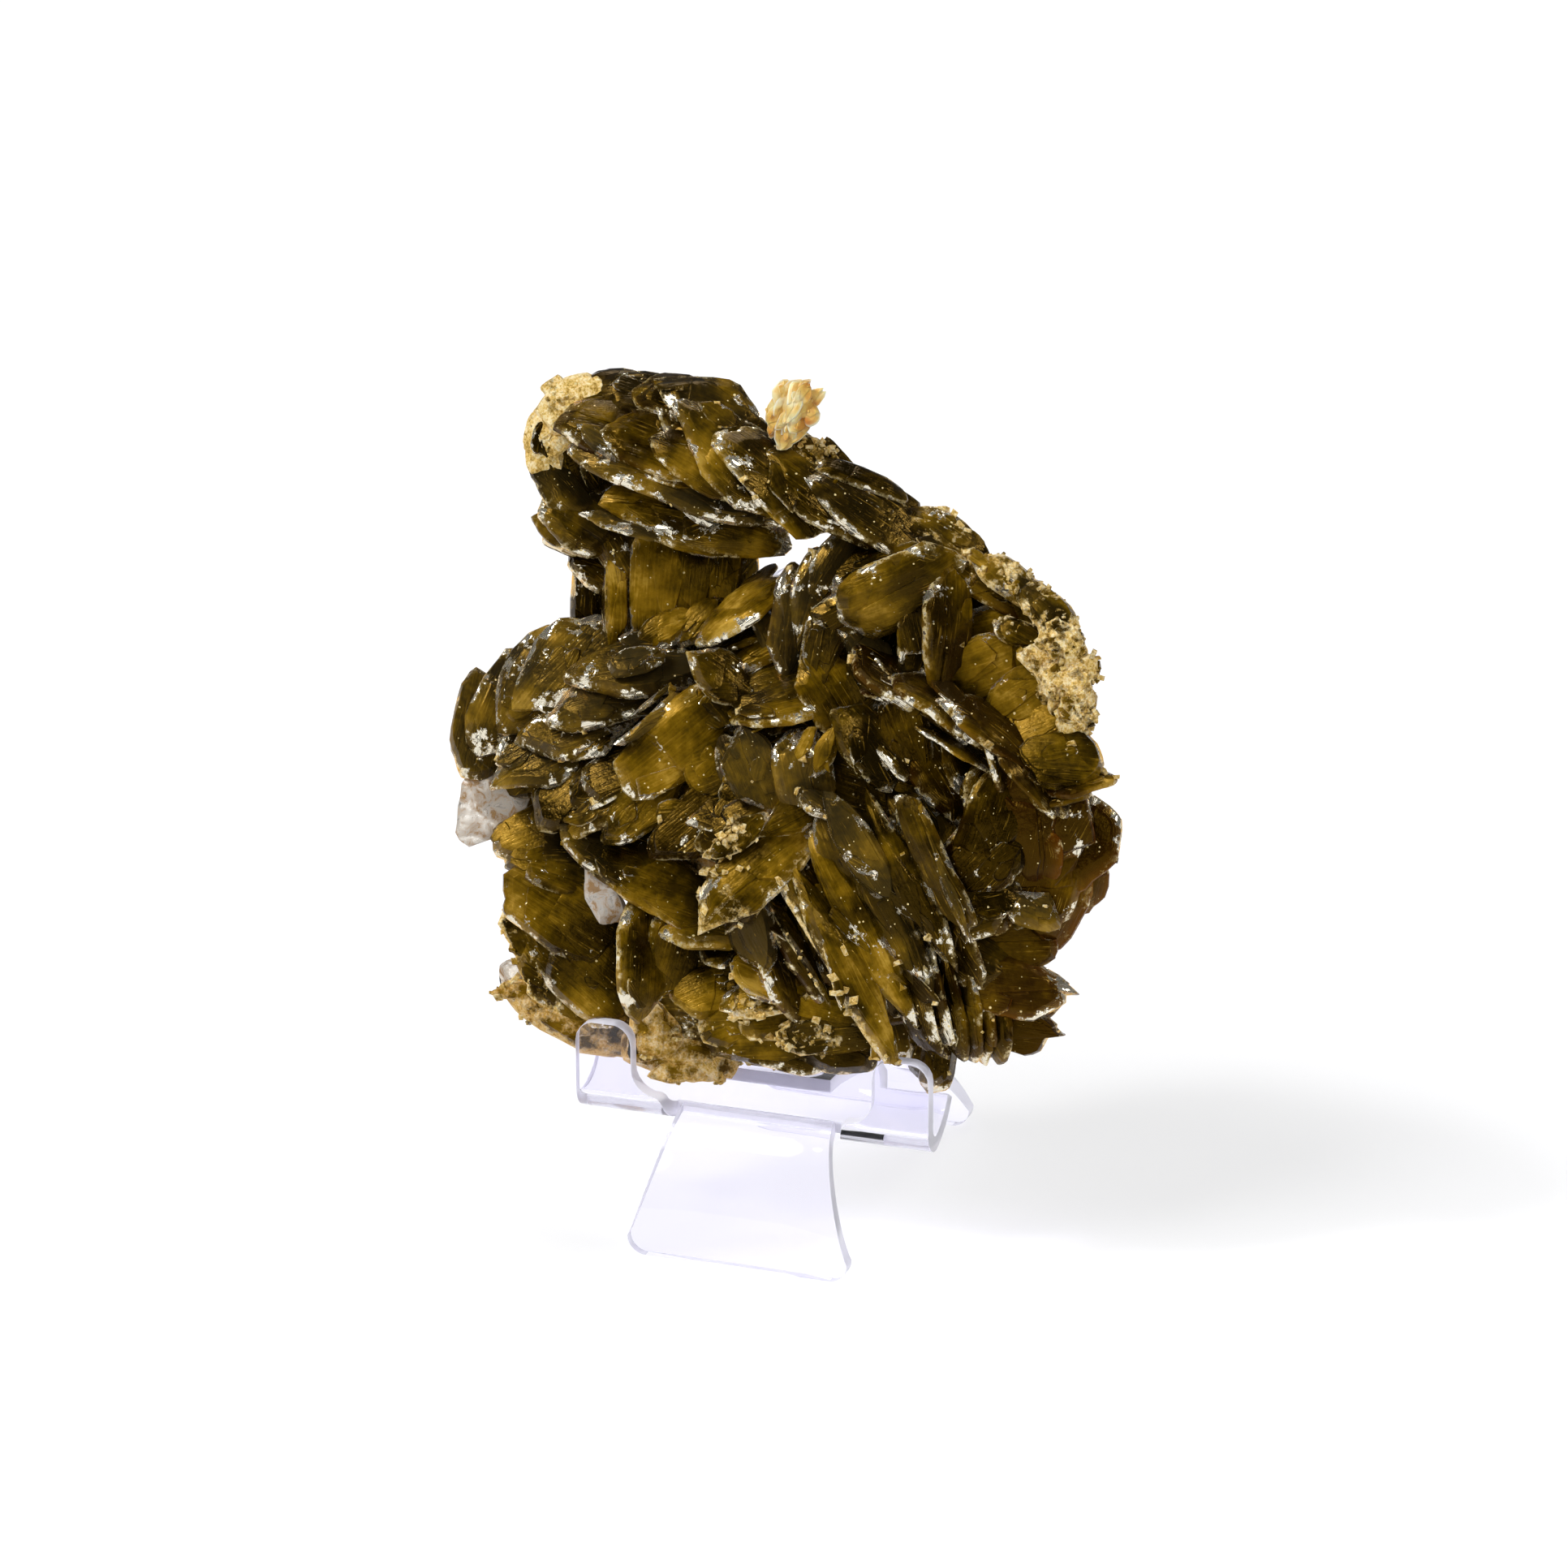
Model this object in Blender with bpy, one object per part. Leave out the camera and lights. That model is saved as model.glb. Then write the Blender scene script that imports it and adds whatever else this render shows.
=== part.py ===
"""A cluster of bladed siderite standing on a clear moulded display easel.

The cluster is one natural piece: some hundred and fifty thin lens-shaped crystals grown
into each other.  Three clear quartz crystals and a knob of cream dolomite sit in pockets of
it.  The easel is two leg plates under a cradle with two front hooks and a back rest.

Row frame: metres, +Z up, the front of the easel towards -Y, origin on the table under the
middle of the whole.  Sizes below are in millimetres and turned to metres once, by MM.
"""

import math
import random

import bmesh
import bpy
from mathutils import Matrix, Vector

MM = 0.001

# ---------------------------------------------------------------- driving dimensions, mm

EASEL_AT = (0.7, -21.3)     # middle of the hooks on their front plane, in the row's X and Y

PLATE = 2.0                 # wall of every easel moulding
GAP = 0.3                   # clearance between pieces that touch

CRADLE_WIDTH = 46.4         # over both hooks
HOOK_WIDTH = 7.4
HOOK_TOP = 28.2             # height of the hooks' tops over the table
FLOOR_Z = 16.7              # middle of the trough's floor, over the table
TROUGH_BACK = (8.9, 20.9)   # where the trough turns up into the back rest: y, z
REST_TOP = (30.6, 81.0)     # the back rest's top: y, z
REST_WIDTHS = (30.0, 17.0)  # at the trough and near the top
NOTCH_WIDTH = 21.6          # slot in the trough's front edge for the front leg
HOOK_ROUND = 2.6            # radius of a hook's top corners
HOOK_FLARE = 3.4            # radius by which a hook widens inward at its root
TROUGH_BEND = 2.4           # radius of the bend from a hook into the trough
REST_ROUND = 6.0            # radius of the back rest's top corners

FRONT_LEG = ((3.4, 16.7), (-4.4, 0.0))    # top and foot: y, z
FRONT_LEG_WIDTHS = (20.0, 29.0)
REAR_LEG = ((10.3, 19.0), (47.0, 0.0))
REAR_LEG_WIDTHS = (14.4, 28.8)
LEG_SWEEP = 1.15            # 1 sweeps a leg along a quarter ellipse, and more flattens its middle
FOOT_ROUND = 2.4            # radius of a foot's corners, along which it is plumb

CLUSTER_AT = (0.0, 11.0, 65.6)   # the cluster's own origin, from the easel's: x, y, z
TURN = 19.0                 # the cluster is turned this far to the easel's right, degrees
TIP = 20.0                  # and tipped back this far
BACK_PLANE = (-13.7, 0.323) # the cluster's resting plane: w at its middle, and w per u

# ------------------------------------------------- how the cluster's blades are laid out
#
# A fan is a run of like blades.  Each line gives its name, its number of blades, its first
# blade and, where there is more than one, its last; the blades between follow evenly.
# A blade is
#   u, v       its middle, to the right and up from the cluster's origin
#   lift       how far its middle stands off the cluster's resting plane
#   heading    direction of its long axis, turned up from the right
#   roll       turn about the long axis: its face looks up (+) or down (-)
#   pitch      its forward end comes towards the front (+) or goes back (-)
#   length, width, thickness
#   squareness of its outline: 1 a rhomb, 2 an ellipse, 4 nearly a rectangle

CORE = (
    ("core_body", 1, (1.5, -14.5, 6.2, 0, 0, 0, 72, 50, 9, 2.5)),
    ("core_dome", 1, (3, -8, 9, -20, 0, 0, 44, 30, 12, 2.1)),
    ("core_shoulder", 1, (-28, 1, 6.0, 40, 0, 0, 26, 15, 6, 2.2)),
    ("core_crest", 1, (-10, 33.5, 11.5, -20, 10, 0, 40, 13, 12, 2.2)),
    ("core_neck", 1, (-15, 17, 6, 90, 0, 0, 24, 15, 7, 3)),
    ("core_right", 1, (23, 10, 5.2, -45, 0, 0, 36, 22, 7, 2.2)),
)

CREST = (
    ("crest_caps", 4, (-20.5, 40.5, 15, -6, 40, 0, 15, 8, 2.4, 1.8),
                      (-8, 40.0, 15, -22, 35, 0, 15, 8, 2.2, 1.7)),
    ("crest_left", 3, (-20, 37, 18, -14, 32, 0, 19, 10, 2.4, 1.8),
                      (-9, 33.5, 18, -30, 30, 0, 17, 10, 2.0, 1.8)),
    ("crest_right", 4, (-5, 33, 17, -48, 30, 0, 22, 12, 2.0, 1.9),
                       (12, 27, 14, -34, 34, 0, 24, 9, 1.8, 1.7)),
    ("crest_ridge", 2, (-17.0, 32.5, 18, -20, 45, 0, 19, 9, 2.4, 1.8),
                       (-11, 30.0, 17, -17, 35, 0, 22, 9, 2.0, 1.8)),
    ("crest_keel", 2, (-11.5, 26.2, 15, -13, 15, 0, 25, 9, 2.6, 1.8),
                      (-6, 23.8, 12, -9, 5, 0, 19, 7, 2.4, 1.7)),
    ("crest_lobe", 3, (-27, 35, 14, -65, 15, -20, 13, 10, 3.0, 2.2),
                      (-25.5, 26.5, 13, -30, 20, -10, 12, 9, 3.0, 2.2)),
    ("crest_heel", 2, (-26.5, 24.5, 10, -25, 30, 0, 9, 6, 2.4, 2.2),
                      (-23, 20.5, 8, -35, 30, 0, 8, 6, 2.4, 2.2)),
    ("crest_crust", 3, (-27.0, 41.5, 13, 40, 10, 0, 10, 8, 3.4, 2.2),
                       (-29.8, 36, 11, 75, 10, -20, 10, 7, 3.4, 2.2)),
    ("crest_tail", 3, (9, 30.5, 11, -35, 45, 0, 19, 9, 2.4, 1.8),
                      (22, 24, 10, -30, 40, 0, 18, 8, 2.0, 1.8)),
)

NECK = (
    ("neck_outer", 2, (-23.6, 17.5, 6, 88, -15, 0, 13, 5.5, 2.4, 3.5),
                      (-20.2, 15.8, 9, 88, -10, 0, 14, 4.2, 2.8, 3.0)),
    ("neck_inner", 3, (-14.8, 17.2, 9.5, 86, 5, 0, 17, 8.5, 2.6, 3.5),
                      (-6.8, 18.4, 7, 84, 0, 0, 14, 5.5, 2.4, 3.0)),
    ("neck_post", 1, (-3.8, 18.6, 6, 88, 0, 0, 11, 2.6, 2.2, 2.5)),
    ("neck_wedges", 2, (-14, 12.6, 11, 30, 20, 0, 10, 5, 2.0, 1.5),
                       (-10, 13.6, 10, 45, 20, 0, 9, 4.5, 2.0, 1.5)),
)

UPPER_RIGHT = (
    ("lances", 2, (-4.5, 15, 13, 33, 62, 0, 20, 9, 2.2, 1.5),
                  (-2.0, 10.5, 12, 28, 45, 0, 15, 8, 2.0, 1.6)),
    ("flames", 3, (5.5, 20, 13, 60, -20, 0, 15, 7, 2.0, 1.7),
                  (1.5, 12.5, 14, 84, -25, 0, 17, 7, 2.2, 1.7)),
    ("flame_foot", 1, (5.2, 10.0, 15, 80, 10, 0, 14, 6, 2.2, 1.8)),
    ("great_lenses", 2, (14, 16.8, 15, 22, -28, 0, 20, 11, 3.4, 1.7),
                        (14.5, 20.5, 12, 14, 25, 0, 20, 9, 2.4, 1.8)),
    ("pillar", 2, (21.0, 13.5, 14, 86, -35, 0, 21, 8, 2.4, 1.6),
                  (17.5, 11, 12, 76, -20, 0, 15, 7, 2.0, 1.7)),
    ("grey_lens", 1, (11, 10, 13, -50, 20, 0, 10, 5, 1.8, 1.5)),
)

BOWL = (
    ("bowl_slot", 1, (28.5, 17.5, 9, -28, 35, 0, 15, 8, 2.0, 2.0)),
    ("bowl_rim", 3, (23.5, 22.0, 10, -32, 30, 10, 13, 6, 2.6, 2.2),
                    (33.5, 15.5, 12, -38, 20, 20, 11, 6, 2.6, 2.2)),
    ("bowl_crust", 3, (35.6, 12.0, 12, -72, 10, 20, 10, 7, 2.8, 2.2),
                      (36.0, 0.5, 12, 84, 0, 20, 11, 7, 2.8, 2.2)),
    ("bowl_plate", 1, (28.5, 8.0, 9, 15, 5, 15, 23, 18, 2.6, 2.3)),
    ("bowl_scale", 1, (25.0, 7.5, 11, 20, -5, 10, 10, 8.5, 2.2, 2.0)),
    ("bowl_lip", 1, (32, 1.5, 11, 25, 30, 10, 15, 8, 2.2, 2.0)),
    ("bowl_leaves", 3, (26.5, -11.0, 12, 72, -10, 0, 15, 10, 2.2, 1.8),
                       (23.0, -21, 12, 20, 10, 0, 14, 10, 2.2, 1.9)),
    ("bowl_wall", 2, (21, -6, 11, -60, 25, 0, 18, 10, 2.2, 1.8),
                     (17, -13, 12, -70, 20, 0, 17, 9, 2.0, 1.8)),
)

RIDGE = (
    ("ridge_blades", 3, (13.5, 6.5, 14, -38, 58, 0, 15, 9, 2.0, 1.7),
                        (26.5, 0.0, 14, -36, 58, 0, 18, 10, 2.0, 1.7)),
    ("ridge_end", 1, (31, -6.0, 14, -50, 55, 0, 14, 8, 2.0, 1.7)),
    ("ridge_root", 2, (6.5, 4.5, 15, -60, 15, 0, 14, 9, 2.0, 1.8),
                      (10.5, -1.5, 16, -55, 30, 0, 14, 8, 2.0, 1.7)),
    ("ridge_drop", 1, (15.5, -1.5, 14, -70, -5, 0, 14, 8, 2.0, 1.7)),
)

RIGHT_SIDE = (
    ("side_disc", 1, (34.0, -3.6, 14, -5, 18, 5, 11, 8, 2.6, 2.0)),
    ("side_fin", 1, (36.2, -6.6, 13, 12, 60, 0, 10, 6, 1.8, 1.8)),
    ("side_plates", 3, (33.3, -12, 10, 78, 5, 15, 20, 15, 2.4, 2.3),
                       (32.0, -20.5, 7, 70, -5, 10, 17, 14, 2.4, 2.3)),
    ("side_chip", 1, (31.0, -22, 9.4, -25, 15, 0, 9, 6, 2.0, 1.4)),
    ("spikes", 2, (27.6, -31.3, 8, -8, 12, 0, 19, 9, 2.6, 1.15),
                  (29.2, -36.6, 5.5, -10, -10, 0, 11, 7, 2.4, 1.25)),
    ("spike_root", 1, (25, -27, 8, -30, 20, 0, 17, 11, 2.6, 1.6)),
)

LONG_LEAVES = (
    ("leaf_outer", 1, (15.3, -15.0, 16, -56, -22, 0, 28, 13, 2.4, 1.8)),
    ("leaf_middle", 1, (10.5, -14.2, 18, -62, -15, 0, 18, 7, 2.2, 1.7)),
    ("leaf_inner", 2, (12, -20, 15, -60, -30, 0, 27, 8, 2.4, 1.7),
                      (16.5, -28, 12, -66, -30, 0, 25, 8, 2.4, 1.7)),
    ("leaf_spine", 1, (8.2, -27, 16, -60, 25, 0, 31, 9, 3.0, 1.7)),
    ("leaf_flanks", 2, (3.0, -20, 14, -60, 35, 0, 21, 9, 2.2, 1.7),
                       (0.5, -30, 11, -68, 40, 0, 18, 9, 2.2, 1.8)),
    ("comb", 4, (18.5, -31.0, 10, 78, -60, 0, 20, 11, 1.9, 1.8),
                (26.0, -34.0, 6, 86, -65, 0, 13, 10, 1.7, 1.9)),
    ("comb_top", 1, (19.5, -24, 12, 72, -45, 0, 16, 10, 2.0, 1.8)),
)

CENTRE = (
    ("pages", 2, (-3.2, -5.0, 18, -68, 15, 0, 12, 8, 2.0, 2.2),
                 (3.0, -5.2, 17, -78, 5, 0, 11, 8, 2.0, 2.4)),
    ("page_spike", 1, (5.8, -2.2, 18, 68, 20, 0, 8, 3, 2.0, 1.3)),
    ("shelf", 3, (0.5, 3.0, 16, 13, 55, 0, 15, 8, 2.2, 1.6),
                 (0.0, 6.5, 13, 20, 40, 0, 14, 8, 2.0, 1.6)),
    ("wedge", 1, (-7.4, 7.0, 16, -36, 20, 0, 12, 7, 2.4, 1.6)),
    ("gold_plane", 1, (-12.3, -1.0, 16, 38, -12, 0, 21, 12, 2.8, 1.7)),
    ("gold_chip", 1, (-8.9, -3.9, 15.4, 45, 5, 0, 6, 4.2, 2.0, 1.5)),
    ("gold_steps", 2, (-16.5, -8.8, 15, 40, 15, 0, 15, 9, 2.2, 1.7),
                      (-21.5, -9.0, 14, 38, 45, 0, 16, 8, 2.0, 1.6)),
    ("gold_blade", 1, (-3.0, -17.3, 17, 40, 20, 0, 24, 10, 2.6, 1.6)),
    ("gold_upper", 2, (-10.0, -11, 16, 38, 15, 0, 16, 9, 2.4, 1.7),
                      (-5.0, -11, 17, 30, 25, 0, 14, 7, 2.0, 1.7)),
    ("gold_tail", 1, (1.5, -10.5, 17, 28, 10, 0, 10, 5, 2.0, 1.5)),
    ("glint", 1, (5.0, -9.2, 17.5, -35, 45, 0, 7, 4, 2.0, 1.5)),
)

SHOULDER = (
    ("scales_outer", 4, (-37.0, 0.5, 7, 80, -12, -15, 13, 8, 2.8, 2.3),
                        (-26.0, 8.5, 11, 50, 15, 0, 18, 12, 2.8, 2.0)),
    ("lenses", 4, (-17.5, 7.8, 13, 4, 35, 0, 19, 10, 2.6, 1.7),
                  (-29.0, -3.0, 11.5, 27, 35, 0, 18, 10, 2.6, 1.6)),
    ("under_lenses", 2, (-25.5, -7.5, 12, 40, 25, 0, 15, 9, 2.4, 1.9),
                        (-21.5, -5.5, 13, 42, 30, 0, 14, 8, 2.0, 1.7)),
)

LEFT_FLANK = (
    ("knuckles", 3, (-30.5, -12.8, 9, 20, 25, 0, 11, 8, 2.8, 2.3),
                    (-27.5, -17.5, 10, -20, 30, 0, 12, 7, 2.8, 2.3)),
    ("scales_low", 4, (-20.0, -14.5, 12.5, -22, 25, 0, 16, 10, 2.4, 1.8),
                      (-13.0, -20.5, 12.5, -18, 30, 0, 14, 9, 2.2, 1.8)),
    ("slabs", 2, (-27.3, -22.3, 11, -32, 10, 0, 17, 11, 2.8, 3.2),
                 (-23.5, -30.0, 9, -42, 6, 0, 15, 11, 2.6, 3.0)),
    ("ochre_edge", 3, (-31.0, -26.0, 7, -60, 0, 0, 12, 7, 2.8, 2.4),
                      (-27.0, -33, 6, -50, 10, 0, 13, 8, 2.8, 2.4)),
    ("toe_crust", 1, (-29.6, -33.8, 5, -30, 15, 0, 14, 7, 3.4, 2.6)),
    ("upright_leaf", 2, (-16.8, -28.5, 13, 88, -40, 0, 18, 9, 2.8, 1.6),
                        (-13.5, -27.5, 11, 75, -30, 0, 15, 8, 2.4, 1.7)),
)

BASE = (
    ("silver", 1, (-3.5, -24, 14.5, -68, -30, 0, 13, 7, 2.2, 1.6)),
    ("cross", 1, (-9.5, -24.6, 12, -6, 50, 0, 13, 8, 2.2, 1.7)),
    ("hollow_floor", 2, (-8.2, -32, 9, 22, 20, 0, 13, 8, 2.2, 1.7),
                        (-1.0, -30.5, 11, -25, 30, 0, 11, 7, 2.0, 1.8)),
    ("base_block", 1, (-0.5, -36.0, 8, 4, -8, 0, 20, 10, 3.4, 3.5)),
    ("base_crust", 1, (8.3, -36.8, 7.5, 8, -10, 0, 11, 7, 3.0, 3.0)),
    ("base_left", 1, (-12.5, -38.8, 5, -15, 10, 0, 15, 9, 3.4, 2.8)),
    ("base_root", 1, (-15.5, -37.0, 7, 80, 0, 0, 10, 8, 3.0, 2.6)),
    ("base_dark", 1, (7.5, -40.0, 5, -10, 0, 0, 10, 6, 2.8, 2.5)),
    ("toe_right", 1, (19.6, -39.5, 6, 88, 0, 0, 11, 5, 3.0, 2.4)),
)

FANS = (CREST + NECK + UPPER_RIGHT + BOWL + RIDGE + RIGHT_SIDE
        + LONG_LEAVES + CENTRE + SHOULDER + LEFT_FLANK + BASE)

# The clear crystals and the knob, each a blade of its own in the same terms.
QUARTZ = {
    "quartz_plate": (-35.8, -9.5, 7, 60, 0, -10, 11, 8.5, 1.6, 2.6),
    "quartz_prism": (-21.9, -21.2, 12.5, -62, 5, 0, 10, 5, 3.4, 3.0),
    "quartz_chip": (-33.7, -30.3, 5, 60, 10, 0, 4.5, 3.6, 1.8, 2.5),
}
# Behind the quartz prism the cluster is open right through, as wide as this blade.
WINDOW = (-21.9, -21.2, 4, -62, 5, 0, 9.4, 4.4, 60, 5.0)
KNOB = (1.6, 39.0, 16, 65, 10, 0, 9.5, 6.5, 4.5, 2.2)

# The back of the cluster is a looser growth of larger blades, laid out at random.
BACK_SEED = 7
BACK_BLADES = 12
BACK_REACH = (30, 21)        # half the width and height of the ellipse that they cover
BACK_MIDDLE = (2, -13)
BACK_CREST_BLADES = 3

RHOMB_CORNERS = 4            # corners of the outline of a rhomb,
LENS_CORNERS = 6             # of a lens,
PLATE_CORNERS = 8            # of a squarer plate,
CORE_CORNERS = 10            # and of the core
RHOMB_SQUARENESS = 1.62      # below this a blade is a rhomb,
PLATE_SQUARENESS = 2.7       # and above this a plate
CRUMB = 0.002                # edges shorter than this are closed up after the joining
FLAT = math.radians(0.2)     # faces closer than this to one plane are joined again
SKEW = 0.22                  # how far an outline leans, each blade its own way
PLATEAU = 0.60               # share of a plate's size that is flat, inside its sloping rim
RIDGE_REACH = 0.45           # how far a lens's ridge runs each way, as a share of half its length
DROOP = 0.06                 # how far a blade's tips bend back, as a share of its length


# ------------------------------------------------------------------------ small helpers

def material(name, colour, roughness, metallic=0.0, transmission=0.0):
    """A Principled BSDF of one colour, linear RGB."""
    made = bpy.data.materials.new(name)
    made.use_nodes = True
    shader = made.node_tree.nodes["Principled BSDF"]
    shader.inputs["Base Color"].default_value = (*colour, 1.0)
    shader.inputs["Roughness"].default_value = roughness
    shader.inputs["Metallic"].default_value = metallic
    shader.inputs["Transmission Weight"].default_value = transmission
    made.diffuse_color = (*colour, 1.0)
    return made


def add_object(name, bm, finish=None, helper=False, into=None):
    """Puts a bmesh in the scene, triangulated, as a node or as a hidden helper."""
    bmesh.ops.triangulate(bm, faces=bm.faces[:])
    bmesh.ops.recalc_face_normals(bm, faces=bm.faces[:])
    mesh = bpy.data.meshes.new(name)
    bm.to_mesh(mesh)
    bm.free()
    made = bpy.data.objects.new(name, mesh)
    (into or bpy.context.scene.collection).objects.link(made)
    if finish:
        mesh.materials.append(finish)
    if helper:
        made.hide_render = True
        made.display_type = "WIRE"
    return made


def smoothstep(t):
    t = min(1.0, max(0.0, t))
    return t * t * (3 - 2 * t)


# --------------------------------------------------------------------------- the cluster

def cluster_frame():
    """Matrix from the cluster's u, v, w (right, up, front) to the row frame, in mm."""
    turn = math.radians(TURN)
    tip = math.radians(TIP)
    right = Vector((math.cos(turn), math.sin(turn), 0))
    front = Vector((math.sin(turn) * math.cos(tip), -math.cos(turn) * math.cos(tip), math.sin(tip)))
    up = front.cross(right)
    turned = Matrix((right, up, front)).transposed().to_4x4()
    at = Vector(CLUSTER_AT) + Vector((*EASEL_AT, 0))
    return Matrix.Translation(at) @ turned


def blade_matrix(blade, flat_on_back=False):
    """Where a blade stands: from its own length, width and thickness axes to the row frame.

    Its angles are told from the cluster's show face or, flat_on_back, from its resting plane.
    """
    u, v, lift, heading, roll, pitch = blade[:6]
    w = BACK_PLANE[0] + BACK_PLANE[1] * u + lift
    swing = math.atan(BACK_PLANE[1]) if flat_on_back else 0
    return (
        Matrix.Scale(MM, 4)
        @ cluster_frame()
        @ Matrix.Translation((u, v, w))
        @ Matrix.Rotation(-swing, 4, "Y")
        @ Matrix.Rotation(math.radians(heading), 4, "Z")
        @ Matrix.Rotation(-math.radians(pitch), 4, "Y")
        @ Matrix.Rotation(-math.radians(roll), 4, "X")
    )


def outline_of(blade, corners):
    """Points of a blade's outline, from -1 to 1 each way: a superellipse that leans a little."""
    u, v, square = blade[0], blade[1], blade[9]
    lean = SKEW * math.sin(3.7 * u + 1.1 * v)
    points = []
    for i in range(corners):
        c, s = math.cos(math.tau * i / corners), math.sin(math.tau * i / corners)
        x = math.copysign(abs(c) ** (2 / square), c)
        y = math.copysign(abs(s) ** (2 / square), s)
        points.append((x, y))
    widest = max(y for _, y in points)
    return [(x + lean * y / widest * (1 - abs(x)), y / widest) for x, y in points]


def blade_bmesh(blade, corners=None, grow=0.0, flat_on_back=False):
    """A sharp rim; both faces rise to a peak on a rhomb, a ridge on a lens, a flat on a plate."""
    length, width, thick, square = blade[6:10]
    plate = corners is not None or square > PLATE_SQUARENESS
    rhomb = not plate and square < RHOMB_SQUARENESS
    corners = corners or (PLATE_CORNERS if plate else RHOMB_CORNERS if rhomb else LENS_CORNERS)
    half_l, half_w, half_t = length / 2 + grow, width / 2 + grow, thick / 2 + grow
    outline = outline_of(blade, corners)
    bm = bmesh.new()
    rim = [bm.verts.new((half_l * x, half_w * y, -DROOP * length * x * x)) for x, y in outline]
    for side in (1, -1):
        if plate:
            inner = [
                bm.verts.new((PLATEAU * half_l * x, PLATEAU * half_w * y, side * half_t))
                for x, y in outline
            ]
            for i in range(corners):
                j = (i + 1) % corners
                bm.faces.new((rim[i], rim[j], inner[j], inner[i]))
            bm.faces.new(inner)
        elif rhomb:
            peak = bm.verts.new((0, 0, side * half_t))
            for i in range(corners):
                bm.faces.new((rim[i], rim[(i + 1) % corners], peak))
        else:
            right = bm.verts.new((RIDGE_REACH * half_l, 0, side * half_t))
            left = bm.verts.new((-RIDGE_REACH * half_l, 0, side * half_t))
            for i, ridge in enumerate((right, None, left, left, None, right)):
                j = (i + 1) % corners
                ends = (ridge,) if ridge else ((left, right) if i == 1 else (right, left))
                bm.faces.new((rim[i], rim[j], *ends))
    bm.transform(blade_matrix(blade, flat_on_back))
    return bm


def blades_of(fan):
    """The blades of one fan, from its first to its last."""
    _, count, first, *rest = fan
    last = rest[0] if rest else first
    for i in range(count):
        t = i / max(1, count - 1)
        yield tuple(a + (b - a) * t for a, b in zip(first, last))


def back_blades():
    """The looser blades of the back: over the body's ellipse, then along the crest."""
    dice = random.Random(BACK_SEED)
    for i in range(BACK_BLADES):
        angle = math.tau * 0.618 * i
        reach = math.sqrt((i + 0.5) / BACK_BLADES)
        u = BACK_MIDDLE[0] + BACK_REACH[0] * reach * math.cos(angle)
        v = BACK_MIDDLE[1] + BACK_REACH[1] * reach * math.sin(angle)
        lift = 3.6 - 1.6 * (1 - reach) + dice.uniform(-0.5, 0.5)
        heading = math.degrees(angle) + dice.uniform(-50, 50)
        roll = dice.choice((-1, 1)) * dice.uniform(18, 48)
        size = dice.uniform(16, 21)
        yield (u, v, lift, heading, roll, 0, size, size * 0.55, 2.4, dice.uniform(1.5, 2.3))
    for i in range(BACK_CREST_BLADES):
        t = i / (BACK_CREST_BLADES - 1)
        u, v = -26 + 33 * t, 38.0 - 9.5 * t
        heading = -20 + dice.uniform(-35, 35)
        yield (u, v, 8.5 - 1.5 * t, heading, dice.uniform(-50, -20), 0, 15, 8, 2.4, 1.9)


def prism(outline, x_from, x_to):
    """A solid with this outline in Y and Z, mm from the easel's origin, between two X."""
    bm = bmesh.new()
    ends = []
    for x in (x_from, x_to):
        ends.append([
            bm.verts.new(((EASEL_AT[0] + x) * MM, (EASEL_AT[1] + y) * MM, z * MM)) for y, z in outline
        ])
    bm.faces.new(ends[0])
    bm.faces.new(ends[1][::-1])
    for i in range(len(outline)):
        j = (i + 1) % len(outline)
        bm.faces.new((ends[0][j], ends[0][i], ends[1][i], ends[1][j]))
    return bm


def easel_room():
    """The outlines that the easel needs clear: its trough, its back rest and its hooks."""
    floor = FLOOR_Z + PLATE / 2 + GAP
    hook_in = PLATE + GAP
    back_y, back_z = TROUGH_BACK[0] - PLATE / 2 - GAP, TROUGH_BACK[1] + PLATE / 2
    lean = (REST_TOP[0] - TROUGH_BACK[0]) / (REST_TOP[1] - TROUGH_BACK[1])
    top = REST_TOP[1] + PLATE
    edge = CRADLE_WIDTH / 2 + GAP
    rest = REST_WIDTHS[0] / 2 + 2 * GAP
    hook = (CRADLE_WIDTH / 2 - HOOK_WIDTH - GAP, edge)
    trough = ((-25, -5), (-25, floor), (4.5, floor), (back_y, back_z), (60, back_z + 0.6), (60, -5))
    back_top = (back_y + lean * (top - back_z), top)
    behind = ((back_y, back_z - 3), (back_y, back_z), back_top, (60, top), (60, 5))
    front = ((hook_in, 5), (hook_in, HOOK_TOP + GAP), (-30, HOOK_TOP + GAP), (-30, 5))
    yield "room_trough", trough, -60, 60
    yield "room_rest", behind, -rest, rest
    yield "room_hook_left", front, -hook[1], -hook[0]
    yield "room_hook_right", front, hook[0], hook[1]
    yield "room_side_left", ((-25, -5), (-25, floor), (60, floor), (60, -5)), -70, -edge
    yield "room_side_right", ((-25, -5), (-25, floor), (60, floor), (60, -5)), edge, 70


def boolean(target, operation, group):
    cut = target.modifiers.new(operation.lower(), "BOOLEAN")
    cut.operation = operation
    cut.operand_type = "COLLECTION"
    cut.collection = group
    cut.solver = "EXACT"


def islands_of(bm):
    """The separate bodies of a mesh, as lists of vertices."""
    left = set(bm.verts)
    while left:
        island, edge = [], [left.pop()]
        while edge:
            vert = edge.pop()
            island.append(vert)
            for link in vert.link_edges:
                other = link.other_vert(vert)
                if other in left:
                    left.remove(other)
                    edge.append(other)
        yield island


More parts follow.
